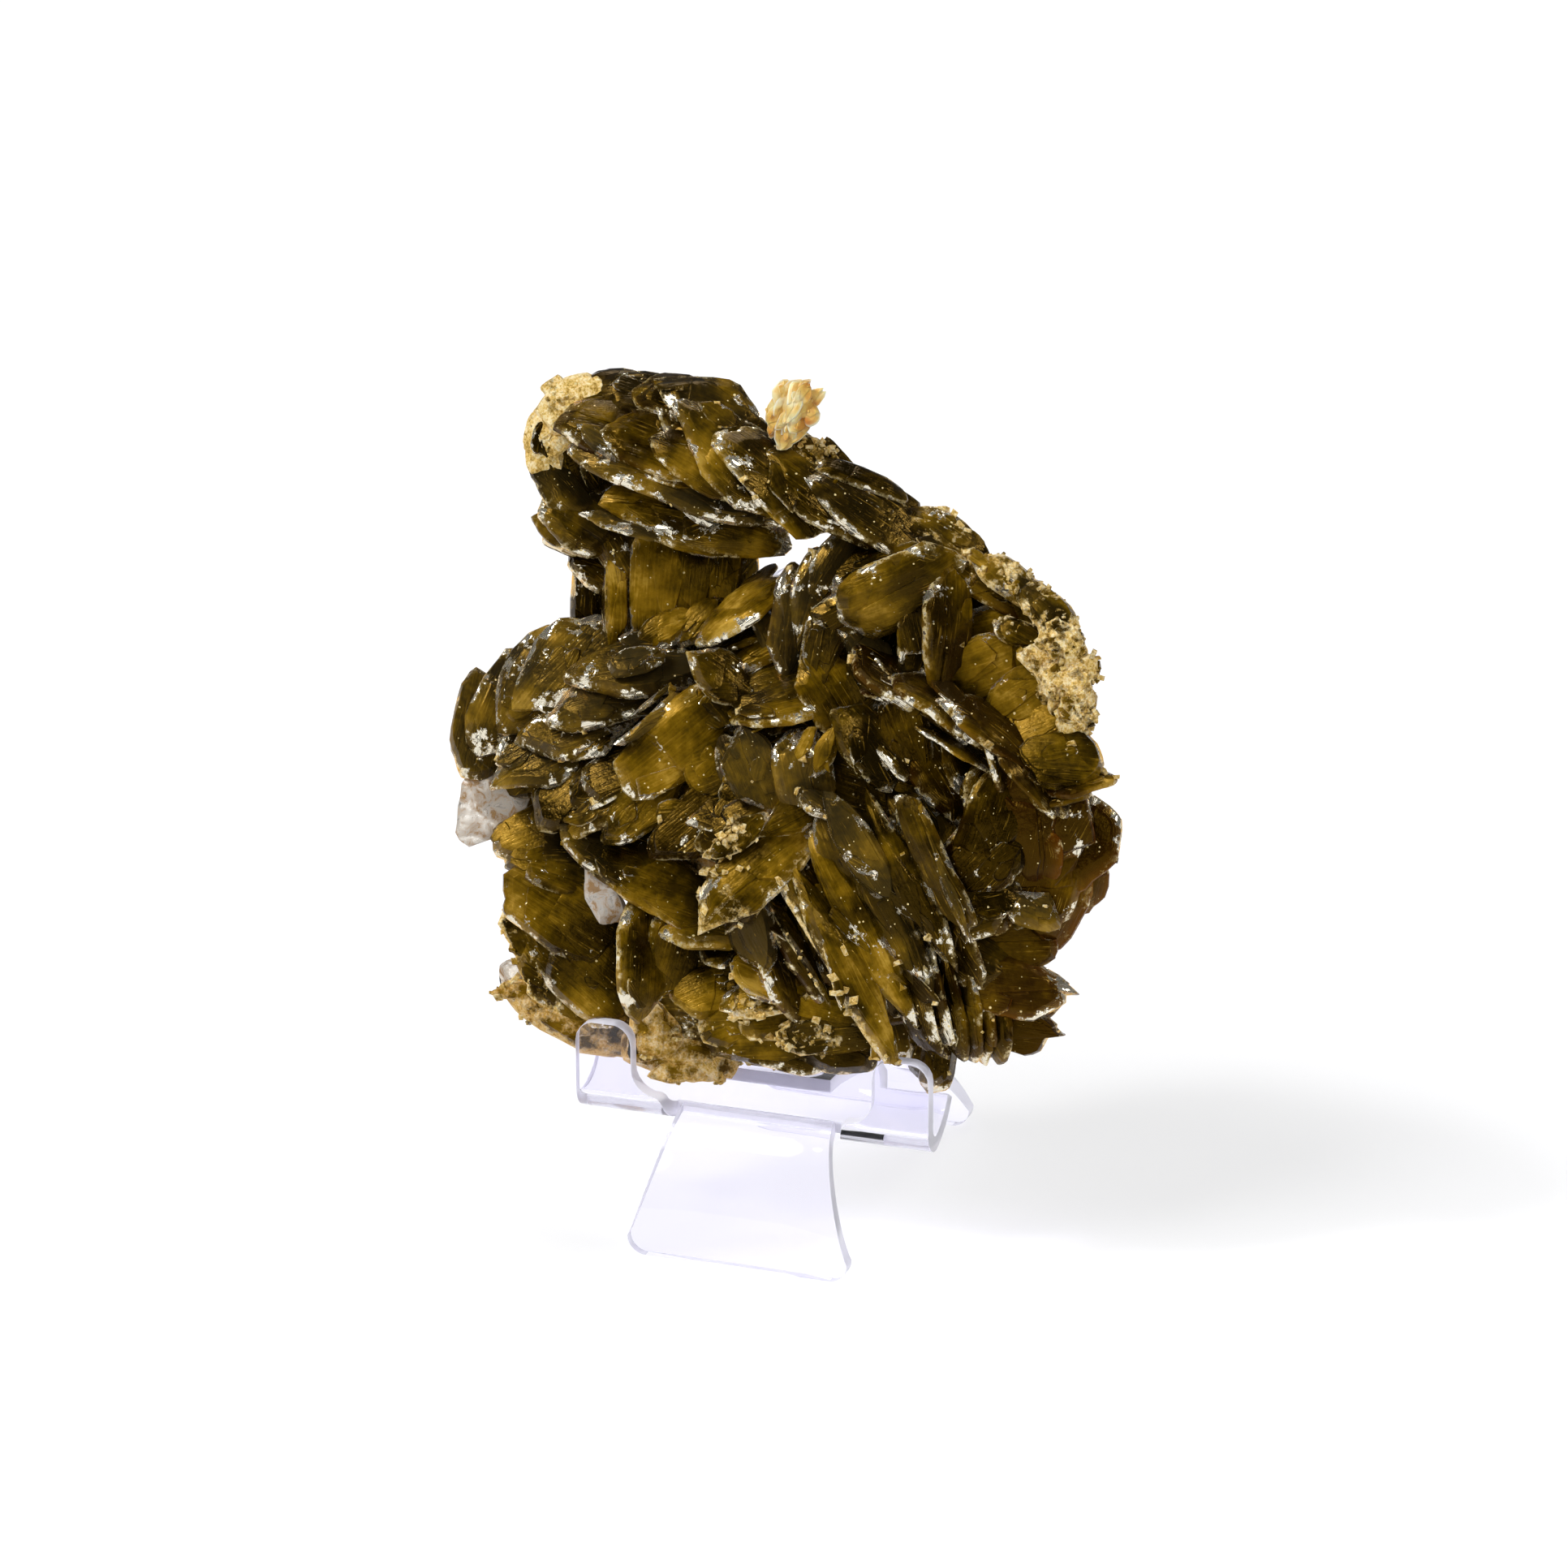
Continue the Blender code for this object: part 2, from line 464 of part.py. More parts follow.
def keep_main_body(obj):
    """Applies an object's modifiers and drops the crumbs that its cuts have left loose."""
    graph = bpy.context.evaluated_depsgraph_get()
    bm = bmesh.new()
    bm.from_object(obj, graph)
    bmesh.ops.remove_doubles(bm, verts=bm.verts[:], dist=CRUMB * MM)
    bmesh.ops.dissolve_degenerate(bm, dist=CRUMB * MM, edges=bm.edges[:])
    bmesh.ops.dissolve_limit(bm, angle_limit=FLAT, verts=bm.verts[:], edges=bm.edges[:])
    bodies = sorted(islands_of(bm), key=len)
    bmesh.ops.delete(bm, geom=[vert for body in bodies[:-1] for vert in body], context="VERTS")
    bmesh.ops.triangulate(bm, faces=bm.faces[:])
    obj.modifiers.clear()
    bm.to_mesh(obj.data)
    bm.free()


def hidden_collection(name):
    made = bpy.data.collections.new(name)
    bpy.context.scene.collection.children.link(made)
    made.hide_render = True
    return made


def build_cluster(finish):
    """The siderite: the core with every blade joined to it, less what sits in it."""
    grown = hidden_collection("grown_blades")
    for fan in CORE[1:]:
        for blade in blades_of(fan):
            core = blade_bmesh(blade, CORE_CORNERS, flat_on_back=True)
            add_object(fan[0], core, helper=True, into=grown)
    for fan in FANS:
        for i, blade in enumerate(blades_of(fan)):
            add_object(f"{fan[0]}_{i}", blade_bmesh(blade), helper=True, into=grown)
    for i, blade in enumerate(back_blades()):
        add_object(f"back_{i}", blade_bmesh(blade, flat_on_back=True), helper=True, into=grown)

    pockets = hidden_collection("pockets")
    for name, blade in [*QUARTZ.items(), ("knob", KNOB)]:
        add_object(f"pocket_{name}", blade_bmesh(blade, grow=GAP), helper=True, into=pockets)
    window = blade_bmesh(WINDOW, PLATE_CORNERS)
    add_object("window", window, helper=True, into=pockets)
    for name, outline, x_from, x_to in easel_room():
        add_object(name, prism(outline, x_from, x_to), helper=True, into=pockets)

    core = blade_bmesh(CORE[0][2], CORE_CORNERS, flat_on_back=True)
    body = add_object("siderite_cluster", core, finish)
    boolean(body, "UNION", grown)
    boolean(body, "DIFFERENCE", pockets)
    keep_main_body(body)


def build_guests(clear, cream):
    """The three quartz crystals and the dolomite knob, each in its pocket."""
    for name, blade in QUARTZ.items():
        add_object(name, blade_bmesh(blade), clear)
    add_object("dolomite_knob", blade_bmesh(KNOB), cream)


# ----------------------------------------------------------------------------- the easel

def sheet_bmesh(rows, cells):
    """A curved sheet.  A row is (y, z, [x, ...]); cells says which columns are filled."""
    bm = bmesh.new()
    grid = [
        [bm.verts.new(((EASEL_AT[0] + x) * MM, (EASEL_AT[1] + y) * MM, z * MM)) for x in xs]
        for y, z, xs in rows
    ]
    for i, columns in enumerate(cells):
        for j in columns:
            bm.faces.new((grid[i][j], grid[i][j + 1], grid[i + 1][j + 1], grid[i + 1][j]))
    bmesh.ops.delete(bm, geom=[v for v in bm.verts if not v.link_faces], context="VERTS")
    return bm


def moulding(name, bm, finish):
    """A sheet given its wall."""
    bmesh.ops.recalc_face_normals(bm, faces=bm.faces[:])
    mesh = bpy.data.meshes.new(name)
    bm.to_mesh(mesh)
    bm.free()
    made = bpy.data.objects.new(name, mesh)
    bpy.context.scene.collection.objects.link(made)
    mesh.materials.append(finish)
    wall = made.modifiers.new("wall", "SOLIDIFY")
    wall.thickness = PLATE * MM
    wall.offset = 0
    wall.use_even_offset = True


def corner_inset(distance, radius):
    """How far a rounded corner has drawn an edge in, this far from its end."""
    if distance >= radius:
        return 0.0
    return radius - math.sqrt(max(0.0, radius**2 - (radius - distance) ** 2))


def cradle():
    """Hooks, trough and back rest as one sheet: rows from the hooks' tops to the rest's top."""
    outer = CRADLE_WIDTH / 2
    inner = outer - HOOK_WIDTH
    y_hook = PLATE / 2
    rows, cells = [], []

    def add(y, z, x1, x2, columns):
        rows.append((y, z, [-x2, -x1, x1, x2]))
        cells.append(columns)

    hook_foot = FLOOR_Z + TROUGH_BEND
    for d in (0.0, 0.25, 0.8, 1.6, HOOK_ROUND):
        inset = corner_inset(d, HOOK_ROUND)
        add(y_hook, HOOK_TOP - d, inner + inset, outer - inset, (0, 2))
    for d in (HOOK_FLARE, 2.2, 1.2, 0.5):
        flare = corner_inset(d, HOOK_FLARE)
        add(y_hook, hook_foot + d, inner - flare, outer, (0, 2))
    for angle in (0, 30, 60):
        a = math.radians(angle)
        y, z = y_hook + TROUGH_BEND * (1 - math.cos(a)), hook_foot - TROUGH_BEND * math.sin(a)
        add(y, z, NOTCH_WIDTH / 2 + 1.2 * (1 - angle / 90), outer, (0, 2))
    # The trough's floor starts behind the notch and swings up to the back rest.
    sweep = (
        (y_hook + TROUGH_BEND, FLOOR_Z, (0, 2)),
        (3.8, FLOOR_Z + 0.1, (0, 1, 2)),
        (5.2, FLOOR_Z + 0.7, (0, 1, 2)),
        (6.6, FLOOR_Z + 1.6, (0, 1, 2)),
        (7.9, FLOOR_Z + 2.8, (0, 1, 2)),
    )
    for y, z, columns in sweep:
        t = smoothstep((y - 5.2) / 2.5)
        add(y, z, NOTCH_WIDTH / 2 * (1 - t) + REST_WIDTHS[0] / 2 * t, outer, columns)
    # The back rest leans back in a straight line to a rounded top.
    length = math.dist(TROUGH_BACK, REST_TOP)
    corner = [1 - d / length for d in (REST_ROUND, 3.5, 1.5, 0.4, 0)]
    for s in (0, 0.2, 0.45, 0.7, *corner):
        y = TROUGH_BACK[0] + (REST_TOP[0] - TROUGH_BACK[0]) * s
        z = TROUGH_BACK[1] + (REST_TOP[1] - TROUGH_BACK[1]) * s
        half = REST_WIDTHS[0] / 2 + (REST_WIDTHS[1] - REST_WIDTHS[0]) / 2 * s
        half -= corner_inset((1 - s) * length, REST_ROUND)
        add(y, z, half, outer, (1,))
    cells.pop()
    return sheet_bmesh(rows, cells)


def leg(ends, widths, steps=11):
    """A leg plate: level at its top, plumb at its foot, widening as it comes down."""
    (y_top, z_top), (y_foot, z_foot) = ends
    rows = []
    for i in range(steps + 1):
        a = i / steps * math.pi / 2
        y = y_top + (y_foot - y_top) * math.sin(a) ** LEG_SWEEP
        z = FOOT_ROUND + (z_top - FOOT_ROUND) * math.cos(a) ** LEG_SWEEP
        rows.append((y, z, widths[0] / 2 + (widths[1] - widths[0]) / 2 * (1 - math.cos(a))))
    for height in (0.55, 0.25, 0.08, 0):
        rows.append((y_foot, z_foot + height * FOOT_ROUND, widths[1] / 2))
    rows = [(y, z, half - corner_inset(z - z_foot, FOOT_ROUND)) for y, z, half in rows]
    return sheet_bmesh([(y, z, [-half, half]) for y, z, half in rows], [(0,)] * (len(rows) - 1))


def build_easel(finish):
    moulding("easel_cradle", cradle(), finish)
    moulding("easel_front_leg", leg(FRONT_LEG, FRONT_LEG_WIDTHS), finish)
    moulding("easel_rear_leg", leg(REAR_LEG, REAR_LEG_WIDTHS), finish)


# ---------------------------------------------------------------------------------- all

for old in list(bpy.data.objects):
    bpy.data.objects.remove(old)

build_cluster(material("siderite", (0.13, 0.085, 0.018), 0.35))
build_guests(
    material("quartz", (0.86, 0.82, 0.76), 0.08, transmission=0.9),
    material("dolomite", (0.80, 0.60, 0.34), 0.6),
)
build_easel(material("clear_polystyrene", (0.92, 0.91, 0.97), 0.05, transmission=1.0))
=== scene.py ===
"""A cluster of bladed siderite on a clear moulded display easel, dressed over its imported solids.

Row frame: metres, +Z up, the easel's front towards -Y.  Sizes are in millimetres and turned
to metres once, by MM.
"""

import math
import random

import bpy
import numpy as np
from mathutils import Matrix, Vector


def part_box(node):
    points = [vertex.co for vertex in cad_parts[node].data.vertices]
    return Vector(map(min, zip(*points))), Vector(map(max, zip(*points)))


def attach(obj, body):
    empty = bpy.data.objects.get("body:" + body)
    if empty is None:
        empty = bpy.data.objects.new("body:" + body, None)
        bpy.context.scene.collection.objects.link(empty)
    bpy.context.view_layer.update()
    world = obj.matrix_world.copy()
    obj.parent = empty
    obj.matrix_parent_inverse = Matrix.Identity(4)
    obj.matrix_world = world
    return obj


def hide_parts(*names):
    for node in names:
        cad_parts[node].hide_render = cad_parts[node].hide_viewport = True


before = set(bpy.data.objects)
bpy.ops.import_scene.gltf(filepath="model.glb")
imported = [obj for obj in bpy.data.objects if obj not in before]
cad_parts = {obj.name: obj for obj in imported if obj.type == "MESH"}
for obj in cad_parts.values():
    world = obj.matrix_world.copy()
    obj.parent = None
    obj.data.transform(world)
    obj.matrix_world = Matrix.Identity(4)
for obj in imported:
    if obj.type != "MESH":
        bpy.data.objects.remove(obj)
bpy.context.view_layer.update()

MM = 0.001
TAU = math.tau

# ------------------------------------------------------------------------- the studio
#
# A matt white board as floor and background, a low even room light, two large softboxes, to
# the upper left and above, and three small lamps that give the glints.  Seen through clear
# plastic or quartz the room is as white as the board.

FLOOR_COLOUR = "#aeaeb0"
FLOOR_GLOW = 0.60            # the board is lit from below as well, which softens its shadows
FLOOR_REACH = 4.0            # half the board's side, metres
ROOM_LIGHT = 0.10
ROOM_SEEN = 0.95             # the room's brightness where it is looked at, or through to
SOFTBOXES = (                # where each stands, its brightness, and its radius in degrees
    ((-0.62, -0.62, 1.05), 9.0, 14),
    ((-0.20, 0.55, 1.20), 5.0, 12),
)
SOFTBOX_BLUR = 1.5           # its light fades out over so many degrees to either side of that
LAMPS = {                    # where each stands, its strength, and its spread in degrees
    "lamp_key": ((-0.75, -0.45, 1.00), 0.9, 7),
    "lamp_rim": ((0.85, 0.10, 0.95), 0.8, 9),
    "lamp_front": ((0.25, -1.00, 0.45), 0.30, 25),
}

EASEL_AT = (0.7, -21.3)      # middle of the hooks on their front plane, X and Y
CLUSTER_AT = (0.0, 11.0, 65.6)   # the cluster's own origin, from the easel's
TURN = 19.0                  # the cluster is turned this far to the easel's right, degrees
TIP = 20.0                   # and tipped back this far

CAMERA_AIM = (0.6, -6.6, 0.0)    # on the cluster's show face: to the right, up, out
CAMERA_AWAY = 700.0
FRAME_WIDTH = 193.2          # of the picture at the cluster's origin
SENSOR = 36.0


def linear(colour):
    """An sRGB hex colour as linear RGBA, by the sRGB curve."""
    parts = np.array([int(colour[i:i + 2], 16) / 255 for i in (1, 3, 5)])
    straight = np.where(parts <= 0.04045, parts / 12.92, ((parts + 0.055) / 1.055) ** 2.4)
    return (*(float(c) for c in straight), 1.0)


def add(tree, kind, settings=None, links=None):
    """Adds a node.  A setting is a socket, by name or number, or else a property; a link is
    fed by a socket or by a node's first output in use."""
    made = tree.nodes.new("ShaderNode" + kind)
    for key, value in (settings or {}).items():
        if isinstance(key, str) and key not in made.inputs:
            setattr(made, key, value)
    for key, value in (settings or {}).items():
        if not isinstance(key, str) or key in made.inputs:
            made.inputs[key].default_value = value
    for key, source in (links or {}).items():
        if isinstance(source, bpy.types.Node):
            source = next(s for s in source.outputs if s.enabled)
        tree.links.new(source, made.inputs[key])
    return made


def fresh_material(name):
    """An empty material: its node tree and its output node."""
    made = bpy.data.materials.new(name)
    made.use_nodes = True
    made.node_tree.nodes.clear()
    return made, made.node_tree, made.node_tree.nodes.new("ShaderNodeOutputMaterial")


def mesh_object(name, points, faces, finish, crease=None):
    """A mesh object from points (n x 3, metres) and one or more arrays of faces: flat shaded,
    or else smooth up to a crease of so many degrees."""
    groups = [np.asarray(group, np.int32) for group in faces if len(group)]
    mesh = bpy.data.meshes.new(name)
    mesh.vertices.add(len(points))
    mesh.vertices.foreach_set("co", np.asarray(points, np.float32).ravel())
    corners = np.concatenate([group.ravel() for group in groups])
    sizes = np.concatenate([np.full(len(group), group.shape[1]) for group in groups])
    mesh.loops.add(len(corners))
    mesh.loops.foreach_set("vertex_index", corners)
    mesh.polygons.add(len(sizes))
    mesh.polygons.foreach_set("loop_start", np.concatenate([[0], np.cumsum(sizes)[:-1]]))
    mesh.polygons.foreach_set("use_smooth", np.full(len(sizes), crease is not None))
    mesh.update(calc_edges=True)
    mesh.validate()
    if crease:
        mesh.set_sharp_from_angle(angle=math.radians(crease))
    made = bpy.data.objects.new(name, mesh)
    bpy.context.scene.collection.objects.link(made)
    mesh.materials.append(finish)
    return made


def cluster_frame():
    """Matrix from the cluster's right, up and front to the row frame, in millimetres."""
    turn, tip = math.radians(TURN), math.radians(TIP)
    right = Vector((math.cos(turn), math.sin(turn), 0))
    front = Vector((math.sin(turn) * math.cos(tip), -math.cos(turn) * math.cos(tip), math.sin(tip)))
    turned = Matrix((right, front.cross(right), front)).transposed().to_4x4()
    return Matrix.Translation(Vector(CLUSTER_AT) + Vector((*EASEL_AT, 0))) @ turned


matt_board, tree, output = fresh_material("matt_white_board")
coat = add(
    tree,
    "BsdfPrincipled",
    {
        "Base Color": linear(FLOOR_COLOUR),
        "Roughness": 0.9,
        "Specular IOR Level": 0.1,
        "Emission Color": (1, 1, 1, 1),
        "Emission Strength": FLOOR_GLOW,
    },
)
tree.links.new(coat.outputs[0], output.inputs["Surface"])
reach = FLOOR_REACH
board = mesh_object(
    "floor_board",
    [(-reach, -reach, 0), (reach, -reach, 0), (reach, reach, 0), (-reach, reach, 0)],
    [[(0, 1, 2, 3)]],
    matt_board,
)

room = bpy.data.worlds.new("studio_room")
room.use_nodes = True
tree = room.node_tree
tree.nodes.clear()
path = add(tree, "LightPath").outputs
looked_at = add(tree, "Math", {"operation": "MAXIMUM", "use_clamp": True},
                {0: path["Is Camera Ray"], 1: path["Transmission Depth"]})
toward = add(tree, "TexCoord").outputs["Generated"]
light = add(tree, "Math", {"operation": "ADD", 0: ROOM_LIGHT, 1: 0.0})
for stands, brightness, radius in SOFTBOXES:
    stands = tuple(Vector(stands).normalized())
    facing = add(tree, "VectorMath", {"operation": "DOT_PRODUCT", 1: stands}, {0: toward})
    outside, inside = (math.cos(math.radians(radius + blur)) for blur in (SOFTBOX_BLUR, -SOFTBOX_BLUR))
    lit = add(tree, "MapRange", {1: outside, 2: inside, 4: brightness}, {0: facing.outputs["Value"]})
    light = add(tree, "Math", {"operation": "ADD"}, {0: lit, 1: light})
strength = add(tree, "Mix", {3: ROOM_SEEN}, {0: looked_at, 2: light})
air = add(tree, "Background", {"Color": (1, 1, 1, 1)}, {"Strength": strength})
tree.links.new(air.outputs[0], tree.nodes.new("ShaderNodeOutputWorld").inputs["Surface"])
bpy.context.scene.world = room
bpy.context.scene.view_settings.view_transform = "Standard"

for name, (stands, strength, spread) in LAMPS.items():
    lamp = bpy.data.lights.new(name, "SUN")
    lamp.energy = strength
    lamp.angle = math.radians(spread)
    holder = bpy.data.objects.new(name, lamp)
    holder.rotation_mode = "QUATERNION"
    holder.rotation_quaternion = Vector(stands).to_track_quat("Z", "Y")
    bpy.context.scene.collection.objects.link(holder)

seat = cluster_frame()
lens = bpy.data.cameras.new("camera")
lens.sensor_width = SENSOR
lens.lens = SENSOR * CAMERA_AWAY / FRAME_WIDTH
camera = bpy.data.objects.new("camera", lens)
camera.rotation_mode = "QUATERNION"
camera.rotation_quaternion = seat.to_quaternion()
camera.location = (seat @ (Vector(CAMERA_AIM) + Vector((0, 0, CAMERA_AWAY)))) * MM
bpy.context.scene.collection.objects.link(camera)
bpy.context.scene.camera = camera

# ------------------------------------------------------------------- siderite: the core
#
# The cluster is one natural piece of iron carbonate, grown as lens-shaped blades that run
# into each other.  At its heart the blades have merged into a dark lump, open right through
# behind one of the quartz crystals.

# A blade is: u, v (right and up from the cluster's origin), lift off the resting plane,
# heading of its long axis, roll (its face looks up +), pitch (its forward end comes out +),
# length, width, thickness, squareness (1 a rhomb, 2 an ellipse, 4 nearly a rectangle).
BACK_PLANE = (-13.7, 0.323)  # the resting plane: out at its middle, and out per u
DROOP = 0.06                 # how far a blade's tips bend back, as a share of its length
SKEW = 0.22                  # how far an outline leans, each blade its own way
CLEAR = 0.3                  # kept between the stone and the easel
# Gaps in the growth that stay open, and the neck, whose posts nothing covers: u, v, radius.
GAPS = ((2.5, 22.5, 5.5), (-21.9, -21.2, 5.5), (-3.5, 19.0, 3.0))
POSTS = ((-13.0, 18.5, 4.0),)

# What a fan of blades looks like: share of honey colour, of painted grey sheen, of ochre
# crust, of red-brown translucence.
OLIVE = (0.34, 0.12, 0.0, 0.0)
HONEY = (0.72, 0.0, 0.0, 0.0)
GOLD = (0.98, 0.0, 0.15, 0.0)
PAINTED_SHEEN = (0.36, 0.58, 0.0, 0.0)
DARK = (0.05, 0.05, 0.0, 0.1)
AMBER = (0.14, 0.0, 0.0, 0.7)
CRUST = (0.7, 0.0, 0.95, 0.0)
DUSTED = (0.50, 0.1, 0.60, 0.0)
BROKEN = (0.60, 0.0, 0.42, 0.0)
RUSTY = (0.85, 0.0, 0.74, 0.5)
# Blades with the full painted grey sheen, and the most silver flakes.
GLINT = (0.40, 1.0, 0.0, 0.0)

# One blade from the middle of its face, over its edge, to the middle of its back.  Its face is
# a flat that ends at a shoulder, and from there a bevel falls to the rim.  Each ring of points
# is so far out, from the middle (0) to the shoulder (1) to the rim (2), and so high.
RINGS = (
    (0.40, 1.00), (0.80, 0.985), (1.00, 0.94), (1.50, 0.66), (1.93, 0.38), (2.00, 0.16),
    (2.00, -0.16), (1.93, -0.38), (1.00, -0.94), (0.50, -1.00),
)
CUTS = 7                     # cleavage edges round a blade
SECTORS = 30                 # sides of a blade
WAVES = ((0.010, 3), (0.009, 7), (0.009, 11), (0.008, 17))   # of its outline: how high, how many
THINNER = 0.86               # a blade's own sheet, to the thickness in the tables
STEP_TALLER = (1.18, 0.18)   # a growth step to its blade's sheet, and more for each further step
CROWN = 0.38                 # how far the middle of a flat is off the blade's own
SHOULDERS = (0.60, 0.93)     # how far out a flat ends and its bevel begins
CHIP_SIZES = (0.15, 0.45)    # of a flake, to its blade
CHIP_HALVES = (0.15, 0.35)   # of a flake's thickness
GRAIN_SCALE = 0.1            # of the UV map along and across each blade, to a millimetre
TINT_DRIFT = (0.16, 0.16, 0.0, 0.08)    # how far a blade's look strays from its fan's
SHEET_DRIFT = (0.08, 0.1, 0.05, 0.0)    # and a sheet's from its blade's
# The blades in the cracks: how far behind the others, how far turned from them, how large to
# them in length, width and thickness, and their look to the others'.
FILLER_BEHIND = (0.2, 2.6)
FILLER_TURNS = (22, 26, 10)
FILLER_SIZES = ((0.40, 0.45, 0.45), (0.80, 0.95, 0.75))
FILLER_TINT = (0.75, 0.8, 0.8, 0.9)

CORE = (
    (1.5, -14.5, 6.2, 0, 0, 0, 72, 50, 9, 2.5),
    (3, -8, 9, -20, 0, 0, 44, 30, 12, 2.1),
    (-28, 1, 6.0, 40, 0, 0, 26, 15, 6, 2.2),
    (-10, 33.5, 11.5, -20, 10, 0, 40, 13, 12, 2.2),
    (-15, 17, 6, 90, 0, 0, 24, 15, 7, 3),
    (23, 10, 5.2, -45, 0, 0, 36, 22, 7, 2.2),
)
CORE_SHRINK = 0.6            # the core stays this far inside its solid
WINDOW = (-21.9, -21.2, 4, -62, 5, 0, 10.4, 5.4, 60, 5.0)
WINDOW_SIDES = 12

# The easel's own sizes, which the stone is pressed against; the easel's section uses them too.
PLATE = 2.0                  # thickness
CRADLE_WIDTH = 46.4
HOOK_WIDTH = 7.4
HOOK_TOP = 28.2
HOOK_OVER = 1.2              # a point less than this below a hook's top is lifted over it
FLOOR_Z = 16.7
FLOOR_LEVEL = 4.5            # the trough's floor is level as far back as this
TROUGH_BACK = (8.9, 20.9)    # foot of the back rest: y, z
REST_TOP = (30.6, 81.0)      # its top
REST_WIDTHS = (30.0, 17.0)   # of the back rest, at its foot and at its top


def blade_matrix(blade, flat_on_back=False):
    """Where a blade stands, in millimetres: seat, place, swing, heading, pitch, then roll."""
    u, v, lift, heading, roll, pitch = (float(value) for value in blade[:6])
    out = BACK_PLANE[0] + BACK_PLANE[1] * u + lift
    swing = math.atan(BACK_PLANE[1]) if flat_on_back else 0.0
    return (
        seat
        @ Matrix.Translation((u, v, out))
        @ Matrix.Rotation(-swing, 4, "Y")
        @ Matrix.Rotation(math.radians(heading), 4, "Z")
        @ Matrix.Rotation(-math.radians(pitch), 4, "Y")
        @ Matrix.Rotation(-math.radians(roll), 4, "X")
    )


def off_the_easel(points):
    """Points pressed clear of the trough, the back rest and the hooks, where the stone rests."""
    x, y, z = (points[..., 0] - EASEL_AT[0], points[..., 1] - EASEL_AT[1], points[..., 2])
    # They stay above a line that is level over the trough's floor, climbs to the foot of the
    # back rest, and is nearly level behind it.
    floor = FLOOR_Z + PLATE / 2 + CLEAR
    back = TROUGH_BACK[0] - PLATE / 2 - CLEAR
    high = TROUGH_BACK[1] + PLATE / 2
    line_y, line_z = (-60, FLOOR_LEVEL, back, 60), (floor, floor, high, high + 0.6)
    z = np.maximum(z, np.interp(y, line_y, line_z))
    # They stay in front of the back rest, which leans.
    lean = (REST_TOP[0] - TROUGH_BACK[0]) / (REST_TOP[1] - TROUGH_BACK[1])
    behind = (np.abs(x) < REST_WIDTHS[0] / 2 + CLEAR) & (z < REST_TOP[1] + PLATE)
    y = np.where(behind & (z > high - PLATE), np.minimum(y, back + lean * (z - high)), y)
    # They stay behind the hooks, or go over them where they are nearly at their tops.
    inner = CRADLE_WIDTH / 2 - HOOK_WIDTH - CLEAR
    hooked = (np.abs(x) > inner) & (np.abs(x) < CRADLE_WIDTH / 2 + CLEAR)
    hooked &= (y < PLATE + CLEAR) & (z < HOOK_TOP + CLEAR)
    over = hooked & (HOOK_TOP + CLEAR - z < HOOK_OVER)
    z = np.where(over, HOOK_TOP + CLEAR, z)
    y = np.where(hooked & ~over, PLATE + CLEAR, y)
    return np.stack((x + EASEL_AT[0], y + EASEL_AT[1], z), axis=-1)


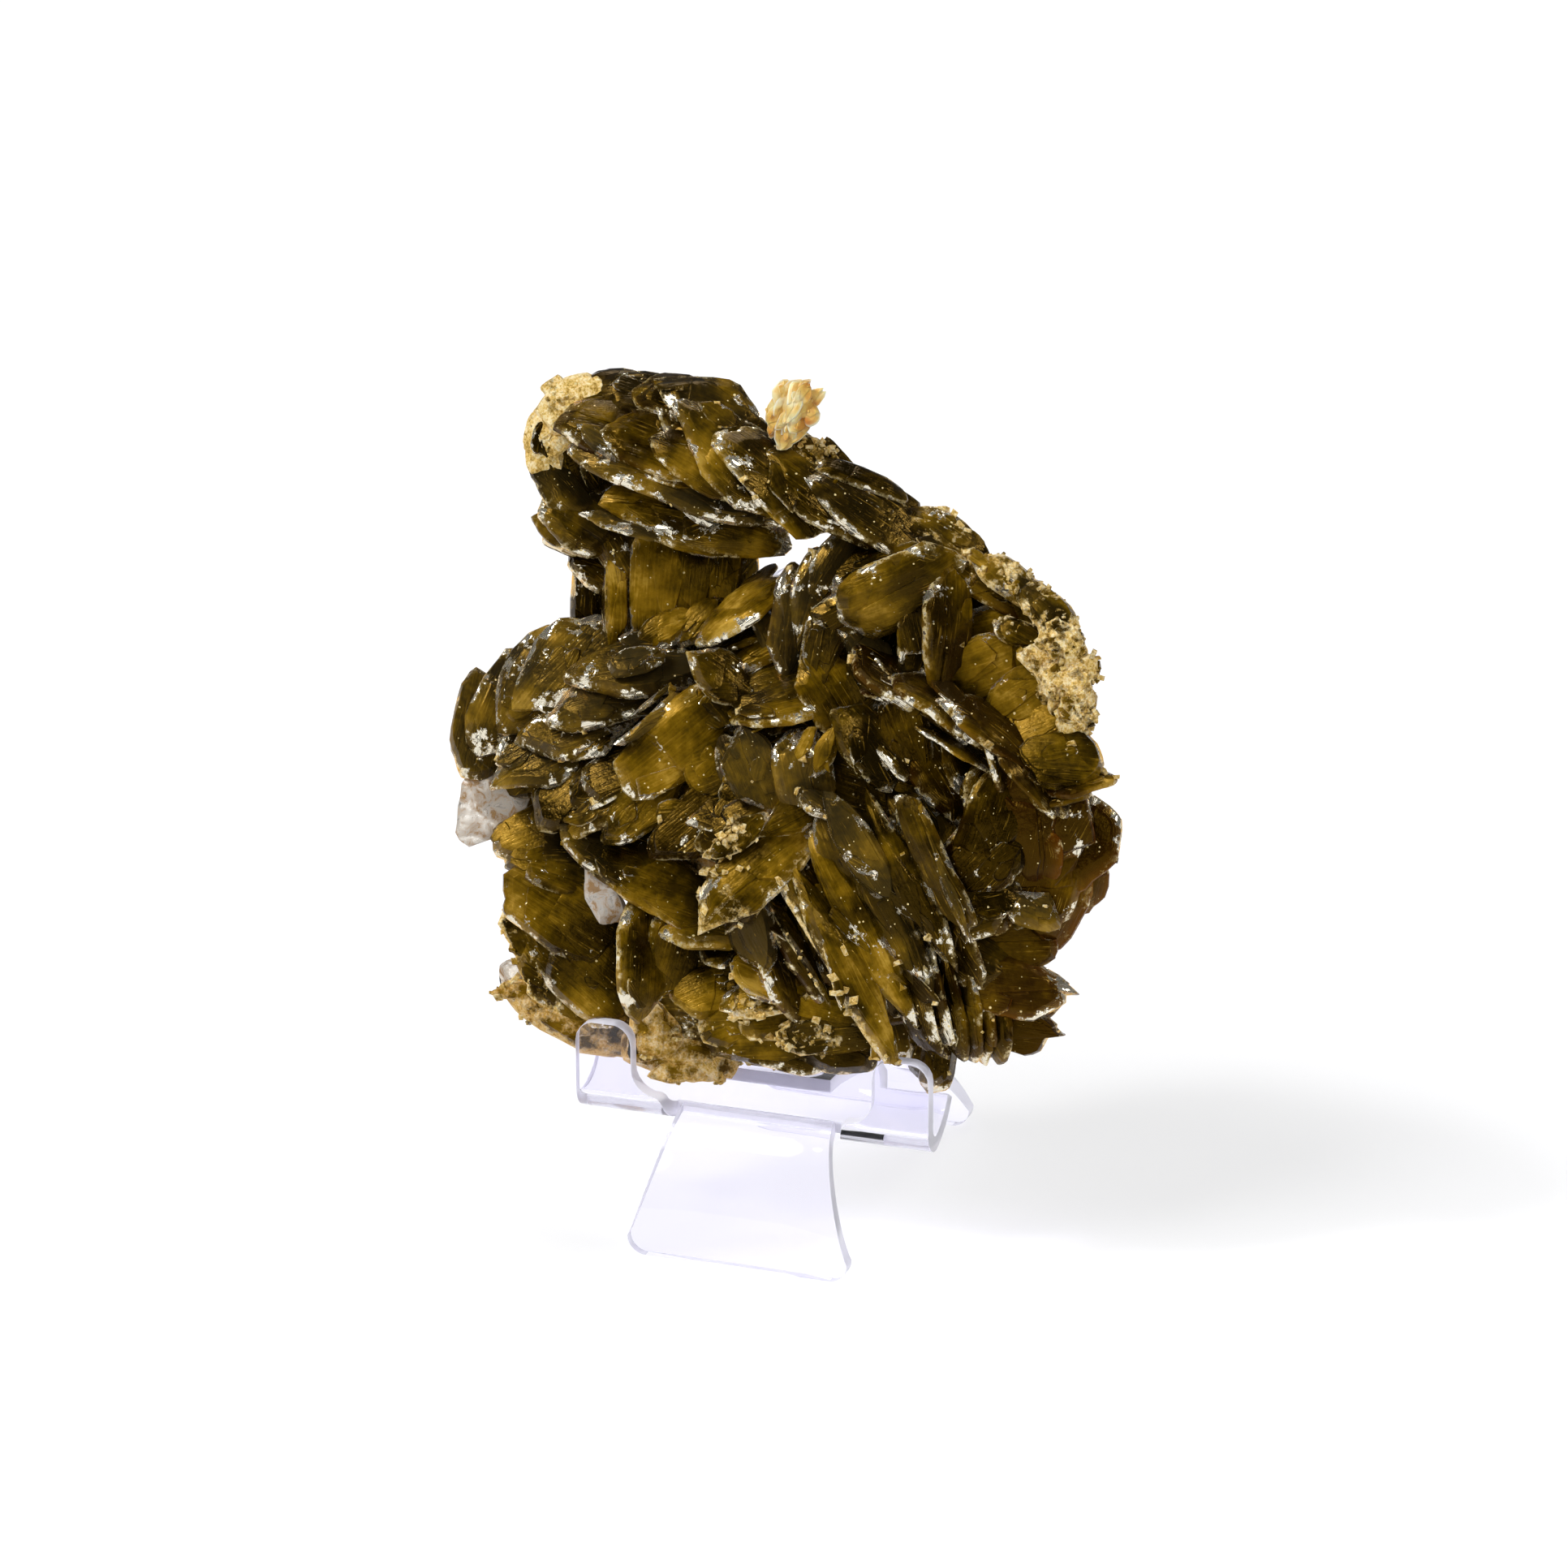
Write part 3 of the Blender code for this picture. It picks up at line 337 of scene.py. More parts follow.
def sheet_points(shape, edges, cuts, dice, sectors=SECTORS, roughness=1.0):
    """Grown blades on a polar grid, in millimetres along, across and off each blade.

    shape holds, for each blade: half length, half width, half thickness, squareness, lean,
    offset along its normal, shift along and across, spin, droop, the seed of its waves, how
    far out its shoulder is, its twist, and where the middle of its flat is, along and across.
    Outline: x = cos a and y = sin a to a power that sharpens the tips, or for a squarer blade
    the superellipse of its squareness, waved a little, and cut off straight at the cleavage
    edges: edges holds their directions, cuts how deep they go.
    Height: that of the rings, less droop times x squared, plus twist times x times y, plus
    three slow waves.
    """
    (half_l, half_w, half_t, square, lean, rise, along, across, spin, droop, wave,
     shoulder, twist, crown_x, crown_y) = (column[:, None] for column in shape.T)
    count = len(shape)
    angle = np.arange(sectors)[None, :] * TAU / sectors
    c, s = np.cos(angle), np.sin(angle)
    x_power = np.where(square > 2, 2 / square, 1.0)
    y_power = np.where(square > 2, 2 / square, 1.0 + 1.6 * (2.0 - square))
    x = np.sign(c) * np.abs(c) ** x_power
    y = np.sign(s) * np.abs(s) ** y_power
    x = x + lean * y * (1 - np.abs(x))

    normal = np.stack((np.cos(edges), np.sin(edges)), axis=-1)
    toward = normal[:, :, 0, None] * x[:, None, :] + normal[:, :, 1, None] * y[:, None, :]
    limit = toward.max(axis=2, keepdims=True) * (1 - cuts[:, :, None])
    room = np.minimum(1.0, (limit / np.maximum(toward, 1e-3)).min(axis=1))
    phase = dice.uniform(0, TAU, (len(WAVES), count, 1))
    waves = sum(high * np.sin(many * angle + start) for (high, many), start in zip(WAVES, phase))
    waved = room * (1 + roughness * waves)
    ring, high = np.array(RINGS).T
    out = np.where(ring <= 1, ring * shoulder, shoulder + (ring - 1) * (1 - shoulder))
    reach = out[:, :, None] * waved[:, None, :]
    off_middle = (1 - out[:, :, None]) * roughness
    flat_x = (reach * x[:, None, :] + off_middle * crown_x[:, :, None]) * half_l[:, :, None]
    flat_y = (reach * y[:, None, :] + off_middle * crown_y[:, :, None]) * half_w[:, :, None]
    flat_x, flat_y = flat_x.reshape(count, -1), flat_y.reshape(count, -1)
    flat_z = np.broadcast_to(high[None, :, None], reach.shape).reshape(count, -1) * half_t
    pole_x, pole_y = crown_x * half_l * roughness, crown_y * half_w * roughness
    flat_x = np.concatenate((pole_x, flat_x, pole_x), axis=1)
    flat_y = np.concatenate((pole_y, flat_y, pole_y), axis=1)
    flat_z = np.concatenate((half_t, flat_z, -half_t), axis=1)

    turned_x = flat_x * np.cos(spin) - flat_y * np.sin(spin) + along
    turned_y = flat_x * np.sin(spin) + flat_y * np.cos(spin) + across
    swell = roughness * np.minimum(1.0, half_l / 9) * (
        0.17 * np.sin(0.38 * turned_x + 0.25 * turned_y + wave)
        + 0.12 * np.sin(0.75 * turned_y - 0.35 * turned_x + 2.3 * wave)
        + 0.05 * np.sin(1.7 * turned_x + 1.1 * turned_y + 4.1 * wave)
    )
    bend = droop * 2 * half_l * (turned_x / half_l) ** 2
    bend = bend - twist * turned_x * turned_y / half_w
    local = np.stack((turned_x, turned_y, flat_z + rise - bend + swell), axis=-1)
    return local, np.stack((flat_x, flat_y), axis=-1)


def sheet_faces(count, sectors=SECTORS):
    """Quads between the rings of each blade, and fans of triangles round its two poles."""
    rows = len(RINGS)
    ring = np.arange(rows)[:, None] * sectors + 1
    step = np.arange(sectors)[None, :]
    turn = (step + 1) % sectors
    quads = np.stack((ring[:-1] + step, ring[1:] + step, ring[1:] + turn, ring[:-1] + turn), axis=-1)
    quads = quads.reshape(-1, 4)
    pole = 1 + rows * sectors
    step, turn, last = step[0], turn[0], ring[-1]
    tris = np.concatenate((
        np.stack((np.zeros(sectors, int), 1 + step, 1 + turn), axis=-1),
        np.stack((np.full(sectors, pole), last + turn, last + step), axis=-1),
    ))
    offset = (np.arange(count) * (pole + 1))[:, None, None]
    return (quads[None] + offset).reshape(-1, 4), (tris[None] + offset).reshape(-1, 3)


def kept_clear(points, node):
    """Points of the row frame, millimetres to metres: off the easel and in the node's own box."""
    return np.clip(off_the_easel(points) * MM, *(np.array(corner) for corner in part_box(node)))


def clear_of_gaps(blades, gaps):
    """Whether each blade leaves the gaps open: its middle is a third of its length off them."""
    apart = [np.hypot(blades[:, 0] - u, blades[:, 1] - v) - radius - blades[:, 6] / 3
             for u, v, radius in gaps]
    return np.min(apart, axis=0) > 0


def with_fillers(blades, looks, fillers, dice):
    """The blades, and for each of them some smaller, thinner ones at odd angles in the cracks
    behind it, drawn in towards the group's middle, and none in a gap that stays open."""
    if not fillers:
        return blades, looks
    more = np.repeat(blades, fillers, axis=0)
    count = len(more)
    middle = blades[:, :2].mean(axis=0)
    pull = dice.uniform(0.1, 0.45, (count, 1))
    more[:, :2] += pull * (middle - more[:, :2]).clip(-6, 6)
    more[:, :2] += dice.normal(0, 0.12, (count, 2)) * more[:, 6, None]
    more[:, 2] -= dice.uniform(*FILLER_BEHIND, count)
    more[:, 3:6] += dice.uniform(-1, 1, (count, 3)) * FILLER_TURNS
    more[:, 6:9] *= dice.uniform(*FILLER_SIZES, (count, 3))
    more[:, 9] = dice.uniform(1.5, 2.6, count)
    keep = clear_of_gaps(more, GAPS + POSTS)
    more, more_looks = more[keep], np.repeat(looks, fillers, axis=0)[keep]
    return np.concatenate((blades, more)), np.concatenate((looks, more_looks))


def give(piece, name, kind, values):
    """Gives each of a piece's vertices a number (FLOAT) or a colour (FLOAT_COLOR)."""
    made = piece.data.attributes.new(name, kind, "POINT")
    field = "color" if kind == "FLOAT_COLOR" else "value"
    made.data.foreach_set(field, np.asarray(values, np.float32).ravel())


def sheets_object(name, blades, looks, seed, finish, fillers=2, steps=2, chips=2,
                  flat_on_back=False, whole=False, sectors=SECTORS, roughness=1.0, shrink=0.0,
                  node="siderite_cluster", cleaved=1.0):
    """Blades with their growth steps, one mesh for a group of them.

    A step is a blade a little thicker than its own, cut away across most of it, so that it
    stands on both faces as a terrace.  Chips are small flakes on a blade's faces.
    """
    dice = np.random.default_rng(seed)
    if whole:
        fillers = steps = chips = 0
    mains = len(blades)
    blades, looks = with_fillers(np.array(blades, float), np.array(looks, float), fillers, dice)
    places = np.array([blade_matrix(blade, flat_on_back) for blade in blades])
    number = len(blades)
    kind = np.repeat(("main", "step", "chip"), (number, number * steps, number * chips))
    own = np.concatenate([np.tile(np.arange(number), times) for times in (1, steps, chips)])
    rank = np.concatenate([np.repeat(np.arange(times), number) for times in (1, steps, chips)])
    needless = (own >= mains) & ((kind == "chip") | (rank > 0))
    kind, own, rank = kind[~needless], own[~needless], rank[~needless]
    step, chip, filler = kind == "step", kind == "chip", own >= mains
    count = len(own)

    # Every blade has its own cleavage edges.  Two deeper cuts take most of a step away, the
    # first along one of four ways, and a flake is broken all round.
    edges = (np.arange(CUTS) / CUTS * TAU)[None, :] + dice.uniform(-0.4, 0.4, (number, CUTS))
    cuts = cleaved * dice.uniform(0.0, 0.29, (number, CUTS)) * (0.55 + 0.45 * np.abs(np.cos(edges)))
    edges, cuts = edges[own], cuts[own]
    edges[step, 0] = (dice.uniform(-0.5, 0.5, count) + dice.integers(0, 4, count) * TAU / 4)[step]
    edges[step, 1] = edges[step, 0] + dice.uniform(0.9, 2.2, count)[step]
    cuts[step, 0] = np.minimum(dice.uniform(0.35, 0.95, count) + 0.12 * rank, 0.92)[step]
    cuts[step, 1] = dice.uniform(0.1, 0.8, count)[step]
    cuts[chip] = dice.uniform(0.0, 0.45, (count, CUTS))[chip]

    # A step is a little narrower and thicker than its blade, and a flake a fraction of it,
    # anywhere on its face and turned by up to 40 degrees.
    length, width, thickness, square = blades[own][:, 6:10].T
    size = np.where(step, 0.985 - 0.03 * rank, 1.0)
    size = np.where(chip, dice.uniform(*CHIP_SIZES, count), size)
    half_t = THINNER * thickness / 2 * np.where(step, STEP_TALLER[0] + STEP_TALLER[1] * rank, 1.0)
    half_t = np.where(chip, dice.uniform(*CHIP_HALVES, count), half_t)
    shoulder = dice.uniform(*SHOULDERS, number)[own]
    turn = dice.uniform(0, TAU, number)
    crown = CROWN * np.stack((np.cos(turn), np.sin(turn)), axis=-1)
    crown = crown[own] * (kind == "main")[:, None]
    about = dice.uniform(0, TAU, count)
    out = 0.8 * np.sqrt(dice.random(count))
    rise = np.where(chip, thickness / 2 * np.interp(out, (0, 0.6, 1), (1.0, 0.9, 0.3)), 0.0)
    spin = np.radians(np.where(chip, 40, 0.8) * dice.uniform(-1, 1, count))
    shape = np.stack((
        (length / 2 - shrink) * size,
        (width / 2 - shrink) * size,
        half_t - shrink * whole,
        np.where(chip, 2.0, square),
        SKEW * np.sin(3.7 * blades[own][:, 0] + 1.1 * blades[own][:, 1]),
        rise,
        length * np.where(chip, out * np.cos(about) / 2, 0),
        width * np.where(chip, out * np.sin(about) / 2, 0),
        spin * (not whole),
        np.where(chip, 0.02, DROOP),
        own * 1.7 + 0.02 * dice.random(count),
        np.where(chip, 0.85, shoulder),
        (not whole) * 0.07 * np.sin(own * 2.9),
        crown[:, 0],
        crown[:, 1],
    ), axis=-1)
    local, flat = sheet_points(shape, edges, cuts, dice, sectors, roughness)
    places = places[own]
    world = np.einsum("nij,npj->npi", places[:, :3, :3], local) + places[:, None, :3, 3]
    made = mesh_object(name, kept_clear(world, node).reshape(-1, 3), sheet_faces(count, sectors),
                       finish, crease=24)

    # The look, how far out each point is, and the map along and across for lines and flakes.
    tint = looks[own] + np.array(TINT_DRIFT) * dice.uniform(-1, 1, (number, 4))[own]
    tint += np.array(SHEET_DRIFT) * dice.uniform(-1, 1, (count, 4))
    tint[filler] *= FILLER_TINT
    give(made, "growth", "FLOAT_COLOR", np.repeat(np.clip(tint, 0, 1), local.shape[1], axis=0))
    out = np.concatenate(([0.0], np.repeat(np.array(RINGS)[:, 0] / 2, sectors), [0.0]))
    give(made, "reach", "FLOAT", np.tile(out, count))
    grain = made.data.uv_layers.new(name="grain")
    corner = np.zeros(len(made.data.loops), np.int32)
    made.data.loops.foreach_get("vertex_index", corner)
    spread = (flat + dice.uniform(-40, 40, (count, 1, 2))).reshape(-1, 2)[corner]
    grain.data.foreach_set("uv", (spread * GRAIN_SCALE).astype(np.float32).ravel())
    return made


def set_stops(ramp, stops):
    """Gives a colour ramp its stops, each a place and a colour, from the lowest to the highest."""
    first, *between, last = stops
    for element, (place, colour) in zip(ramp.elements, (first, last)):
        element.position = place
        element.color = linear(colour)
    for place, colour in between:
        ramp.elements.new(place).color = linear(colour)


def siderite_finish():
    """Vitreous iron carbonate: olive to honey brown, clear enough to look deep.

    Its colour drifts from near black to honey in soft clouds, painted glow and painted
    highlight turn it golden along thin edges, painted shade darkens it deep in the growth and
    a painted grey sheen lies on some blades, gold specks sit in it, and crusts of ochre iron
    oxide cover the weathered parts.
    """
    made, tree, output = fresh_material("vitreous_siderite")
    place = add(tree, "TexCoord").outputs["Object"]
    growth = add(tree, "Attribute", {"attribute_name": "growth"})
    reach = add(tree, "Attribute", {"attribute_name": "reach"}).outputs["Fac"]
    kinds = add(tree, "SeparateColor", links={0: growth.outputs["Color"]})
    honey, painted_sheen_and_flakes, ochre = kinds.outputs[0], kinds.outputs[1], kinds.outputs[2]
    amber = growth.outputs["Alpha"]

    # Clouds about 8 mm across, mottling of about 1 mm, and grit of 0.3 mm.
    cloud = add(tree, "TexNoise", {"Scale": 120.0, "Detail": 3.0, "Roughness": 0.5}, {0: place})
    mottle = add(tree, "TexNoise", {"Scale": 900.0, "Detail": 3.0, "Roughness": 0.65}, {0: place})
    grit = add(tree, "TexNoise", {"Scale": 3300.0, "Detail": 2.0, "Roughness": 0.6}, {0: place})
    # Growth lines, drawn 0.3 mm apart across the blade and 5 mm long, and flutes of 1.5 by 14 mm.
    grain = add(tree, "UVMap", {"uv_map": "grain"})
    along = add(tree, "Mapping", {"Scale": (2.0, 33.0, 1.0)}, {0: grain})
    lines = add(tree, "TexNoise", {"Scale": 1.0, "Detail": 3.0, "Roughness": 0.6}, {0: along})
    along = add(tree, "Mapping", {"Scale": (0.7, 6.5, 1.0)}, {0: grain})
    flutes = add(tree, "TexNoise", {"Scale": 1.0, "Detail": 2.0, "Roughness": 0.5}, {0: along})

    # How light the stone is: clouds, its kind, lines, flutes, mottling, a painted glow of light
    # through its thin outer part, and painted shade by how deep it lies in the growth.
    outer = add(tree, "Math", {"operation": "POWER", 1: 4.0}, {0: reach})
    painted_shade_depth = add(tree, "Attribute", {"attribute_name": "painted_shade_depth"}).outputs["Fac"]
    depth = add(tree, "Math", {"operation": "MULTIPLY_ADD", 1: 2.2, 2: -1.47}, {0: cloud})
    parts = ((0.62, honey), (0.40, lines), (0.24, flutes), (0.54, mottle), (0.12, outer), (-0.42, painted_shade_depth))
    for weight, part in parts:
        depth = add(tree, "Math", {"operation": "MULTIPLY_ADD", 1: weight}, {0: part, 2: depth})
    body = add(tree, "ValToRGB", links={0: depth})
    set_stops(body.color_ramp, ((0.0, "#0d0800"), (0.20, "#1a1101"), (0.40, "#382902"),
                                (0.58, "#5c4505"), (0.78, "#7e5f10"), (1.0, "#b08c34")))

    # Painted grey sheen, red-brown depth, and a painted orange glow of light through red-brown
    # plates towards their thin rim.
    painted_rim_glow = add(tree, "Math", {"operation": "MULTIPLY"}, {0: amber, 1: outer})
    casts = ((0.45, painted_sheen_and_flakes, "#4a4026"), (0.42, amber, "#3c1e02"), (0.55, painted_rim_glow, "#84460c"))
    for weight, part, colour in casts:
        share = add(tree, "Math", {"operation": "MULTIPLY", 1: weight}, {0: part})
        body = add(tree, "Mix", {"data_type": "RGBA", 7: linear(colour)}, {0: share, 6: body})

    # Painted light along thin edges: a pale golden line, painted glow where light comes through
    # them and painted highlight where they catch the lamps.
    edge = add(tree, "Math", {"operation": "POWER", 1: 13.0}, {0: reach})

    # The edges of the layers a blade is built of, along its bevel like contour lines: six or
    # seven from its shoulder to its rim.
    layers = add(tree, "Math", {"operation": "MULTIPLY", 1: 13.0}, {0: reach})
    layers = add(tree, "Math", {"operation": "MULTIPLY_ADD", 1: 1.3}, {0: mottle, 2: layers})
    layers = add(tree, "Math", {"operation": "FRACT"}, {0: layers})
    bevel = add(tree, "MapRange", {1: 0.50, 2: 0.62}, {0: reach})
    layers = add(tree, "Math", {"operation": "MULTIPLY"}, {0: layers, 1: bevel})
    ledge = add(tree, "MapRange", {1: 0.74, 2: 0.92, 4: 0.6}, {0: layers})

    # Hairlines along the blade, where its layers end.
    hair = add(tree, "MapRange", {1: 0.59, 2: 0.65, 4: 0.5}, {0: lines})

    # All three show here and there, broken off in patches of about 4 mm.
    lace = add(tree, "TexNoise", {"Scale": 260.0, "Detail": 5.0, "Roughness": 0.7}, {0: place})
    broken = add(tree, "MapRange", {1: 0.48, 2: 0.56}, {0: lace})
    for line, colour in ((edge, "#dcc78c"), (ledge, "#a5812c"), (hair, "#96752a")):
        share = add(tree, "Math", {"operation": "MULTIPLY"}, {0: line, 1: broken})
        body = add(tree, "Mix", {"data_type": "RGBA", 7: linear(colour)}, {0: share, 6: body})

    # Flakes that have parted along the cleavage mirror like silver: 0.3 by 1.1 mm, most of them
    # near the edges.
    mirrors = add(tree, "Mapping", {"Scale": (9.0, 32.0, 1.0)}, {0: grain})
    mirrors = add(tree, "TexVoronoi", {"voronoi_dimensions": "2D", "Scale": 1.0}, {"Vector": mirrors})
    near = add(tree, "MapRange", {1: 0.30, 2: 0.95, 4: 0.13}, {0: reach})
    near = add(tree, "Math", {"operation": "ADD"}, {0: near, 1: lace})
    near = add(tree, "Math", {"operation": "MULTIPLY_ADD", 1: 0.06}, {0: painted_sheen_and_flakes, 2: near})
    parted = add(tree, "MapRange", {1: 0.668, 2: 0.695}, {0: near})
    body = add(tree, "Mix", {"data_type": "RGBA", 7: linear("#e6dfca")}, {0: parted, 6: body})

    # Ochre crust in patches of about 2.5 mm, thickest on the edges.
    patch = add(tree, "TexNoise", {"Scale": 420.0, "Detail": 5.0, "Roughness": 0.65}, {0: place})
    patch = add(tree, "Math", {"operation": "MULTIPLY_ADD", 1: 0.61}, {0: ochre, 2: patch})
    patch = add(tree, "Math", {"operation": "MULTIPLY_ADD", 1: 0.16}, {0: outer, 2: patch})
    crusted = add(tree, "MapRange", {1: 0.90, 2: 1.04}, {0: patch})
    fine = add(tree, "Mix", {0: 0.55}, {2: grit, 3: mottle})
    crust = add(tree, "ValToRGB", links={0: fine})
    set_stops(crust.color_ramp, ((0.36, "#94702f"), (0.47, "#e3be6b"), (0.60, "#fdecbe")))
    share = add(tree, "Math", {"operation": "MULTIPLY", 1: 0.70}, {0: amber})
    crust = add(tree, "Mix", {"data_type": "RGBA", 7: linear("#a86c20")}, {0: share, 6: crust})
    body = add(tree, "Mix", {"data_type": "RGBA"}, {0: crusted, 6: body, 7: crust})

    # Gold specks, crowded in places, and drawn up to 0.4 mm across so that they show.
    cell = add(tree, "TexVoronoi", {"Scale": 2000.0}, {0: place})
    pick = add(tree, "SeparateColor", links={0: cell.outputs["Color"]})
    grain_size = add(tree, "MapRange", {1: 0.82, 4: 0.40}, {0: pick.outputs[0]})
    crowd = add(tree, "MapRange", {1: 0.42, 2: 0.62, 3: 0.30}, {0: lace})
    grain_size = add(tree, "Math", {"operation": "MULTIPLY"}, {0: grain_size, 1: crowd})
    speck = add(tree, "Math", {"operation": "LESS_THAN"}, {0: cell.outputs["Distance"], 1: grain_size})
    body = add(tree, "Mix", {"data_type": "RGBA", 7: linear("#e0cc94")}, {0: speck, 6: body})

    # Glass-smooth where it is bare and matt under its crust, and the parted flakes mirror.
    gloss = add(tree, "MapRange", {1: 0.35, 2: 0.70, 3: 0.08, 4: 0.26}, {0: mottle})
    gloss = add(tree, "Math", {"operation": "MULTIPLY_ADD", 1: 0.5, "use_clamp": True},
                {0: crusted, 2: gloss})
    bare = add(tree, "Math", {"operation": "MULTIPLY_ADD", 1: -0.9, 2: 0.9}, {0: crusted})
    silver = add(tree, "Math", {"operation": "MULTIPLY"}, {0: parted, 1: bare})

    # Relief of up to 0.15 mm: mottling, lines, gritty crust, flutes and layers.
    gritty = add(tree, "Math", {"operation": "MULTIPLY"}, {0: crusted, 1: grit})
    relief = mottle
    for weight, part in ((0.8, lines), (2.0, gritty), (0.9, flutes), (-0.55, layers)):
        relief = add(tree, "Math", {"operation": "MULTIPLY_ADD", 1: weight}, {0: part, 2: relief})
    relief = add(tree, "Bump", {"Strength": 0.7, "Distance": 0.15 * MM}, {"Height": relief})
    # Each flake is tilted its own way, by up to 17 degrees.
    tilt = add(tree, "VectorMath", {"operation": "MULTIPLY_ADD", 1: (0.6,) * 3, 2: (-0.3,) * 3},
               {0: mirrors.outputs["Color"]})
    tilt = add(tree, "VectorMath", {"operation": "SCALE"}, {0: tilt, "Scale": parted})
    relief = add(tree, "VectorMath", {"operation": "ADD"}, {0: relief, 1: tilt})
    relief = add(tree, "VectorMath", {"operation": "NORMALIZE"}, {0: relief})
    shader = add(
        tree,
        "BsdfPrincipled",
        {
            "IOR": 1.60,
            "Specular IOR Level": 0.27,
            "Specular Tint": linear("#ffc43c"),
            "Subsurface Radius": (1.0, 0.55, 0.10),
            "Subsurface Scale": 1.0 * MM,
            "Subsurface Weight": 0.06,
        },
        {"Base Color": body, "Roughness": gloss, "Metallic": silver, "Normal": relief},
    )
    tree.links.new(shader.outputs[0], output.inputs["Surface"])
    return made


siderite = siderite_finish()
grown = []                   # the pieces of the cluster


def stand_for_cluster(piece):
    """A piece of the cluster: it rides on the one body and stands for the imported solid."""
    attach(piece, "root")
    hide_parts("siderite_cluster")
    grown.append(piece)


core = sheets_object("siderite_core", CORE, [DARK] * len(CORE), 11, siderite, flat_on_back=True,
                     sectors=96, whole=True, roughness=0.6, shrink=CORE_SHRINK)

# The window's outline is a rounded slot: cosine and sine to the power 0.6, waved by a tenth.
side = np.arange(WINDOW_SIDES)
turn = side * TAU / WINDOW_SIDES
rim = np.stack((
    np.sign(np.cos(turn)) * np.abs(np.cos(turn)) ** 0.6 * (1 + 0.10 * np.sin(3 * turn + 1)),
    np.sign(np.sin(turn)) * np.abs(np.sin(turn)) ** 0.6 * (1 + 0.12 * np.sin(2 * turn)),
), axis=-1) / 2
corners = np.concatenate([np.insert(rim, 2, z, axis=1) for z in (-0.5, 0.5)]) * WINDOW[6:9]
spot = np.array(blade_matrix(WINDOW))
following = (side + 1) % WINDOW_SIDES
walls = np.stack((side, following, following + WINDOW_SIDES, side + WINDOW_SIDES), axis=-1)
hole = mesh_object("window_cutter", (corners @ spot[:3, :3].T + spot[:3, 3]) * MM,
                   [side[None, ::-1], WINDOW_SIDES + side[None], walls], siderite)
give(hole, "growth", "FLOAT_COLOR", [DARK] * len(corners))
cut = core.modifiers.new("window", "BOOLEAN")
cut.operation = "DIFFERENCE"
cut.object = hole
cut.solver = "EXACT"
cut.use_self = True
bpy.context.view_layer.update()
graph = bpy.context.evaluated_depsgraph_get()
opened = bpy.data.meshes.new_from_object(core.evaluated_get(graph), preserve_all_data_layers=True,
                                         depsgraph=graph)
core.modifiers.clear()
core.data = opened
bpy.data.objects.remove(hole)
stand_for_cluster(core)

# ---------------------------------------------------------------- siderite: crest and neck
#
# The crest is a saddle of thin scales that overlap like roof tiles and dip to the right, and
# its left end and its top edge are coated in cream crust.  Upright bars carry it on a neck.

# A fan is: how many blades, their look, its first blade, and its last where there are more.
CREST = (
    (4, OLIVE, (-20.8, 41.6, 15, -2, 30, 0, 15, 8, 2.4, 1.8),
     (-8.0, 40.4, 15, -24, 28, 0, 16.5, 8, 2.2, 1.7)),
    (1, GLINT, (-19.7, 34.3, 20, -34, 30, 0, 14, 3.6, 1.4, 1.8)),
    (3, DARK, (-20, 37, 18, -14, 32, 0, 19, 10, 2.4, 1.8),
     (-9, 33.5, 18, -30, 30, 0, 17, 10, 2.0, 1.8)),
    (4, OLIVE, (-5, 33, 17, -48, 30, 0, 22, 12, 2.0, 1.9),
     (11.2, 26.2, 14, -34, 34, 0, 24, 8, 1.8, 1.7)),
    (2, PAINTED_SHEEN, (-17.0, 32.5, 18, -20, 45, 0, 19, 9, 2.4, 1.8),
     (-11, 30.0, 17, -17, 35, 0, 22, 9, 2.0, 1.8)),
    (2, HONEY, (-10.7, 26.2, 15, -13, 15, 0, 27, 9, 2.6, 1.8),
     (-8.0, 24.6, 12, -9, 5, 0, 18, 7, 2.4, 1.7)),
    (3, OLIVE, (-26.2, 35, 14, -65, 15, -20, 13, 10, 3.0, 2.2),
     (-25.2, 26.8, 13, -30, 20, -10, 12, 9, 3.0, 2.2)),
    (2, OLIVE, (-25.8, 24.5, 10, -25, 30, 0, 9, 6, 2.4, 2.2),
     (-23, 20.5, 8, -35, 30, 0, 8, 6, 2.4, 2.2)),
    (3, CRUST, (-25.9, 40.6, 16.5, 28, 15, 0, 11, 7, 3.0, 2.2),
     (-29.0, 36.2, 15.5, 75, 10, -20, 11, 6.5, 3.0, 2.2)),
    (1, DUSTED, (4.2, 33.4, 13, -38, 30, 0, 12, 5.5, 2.4, 2.0)),
    (3, DUSTED, (7.6, 30.2, 11, -36, 42, 0, 19, 8.6, 2.4, 1.8),
     (20.3, 22.0, 10, -33, 40, 0, 17, 6, 2.0, 1.8)),
)
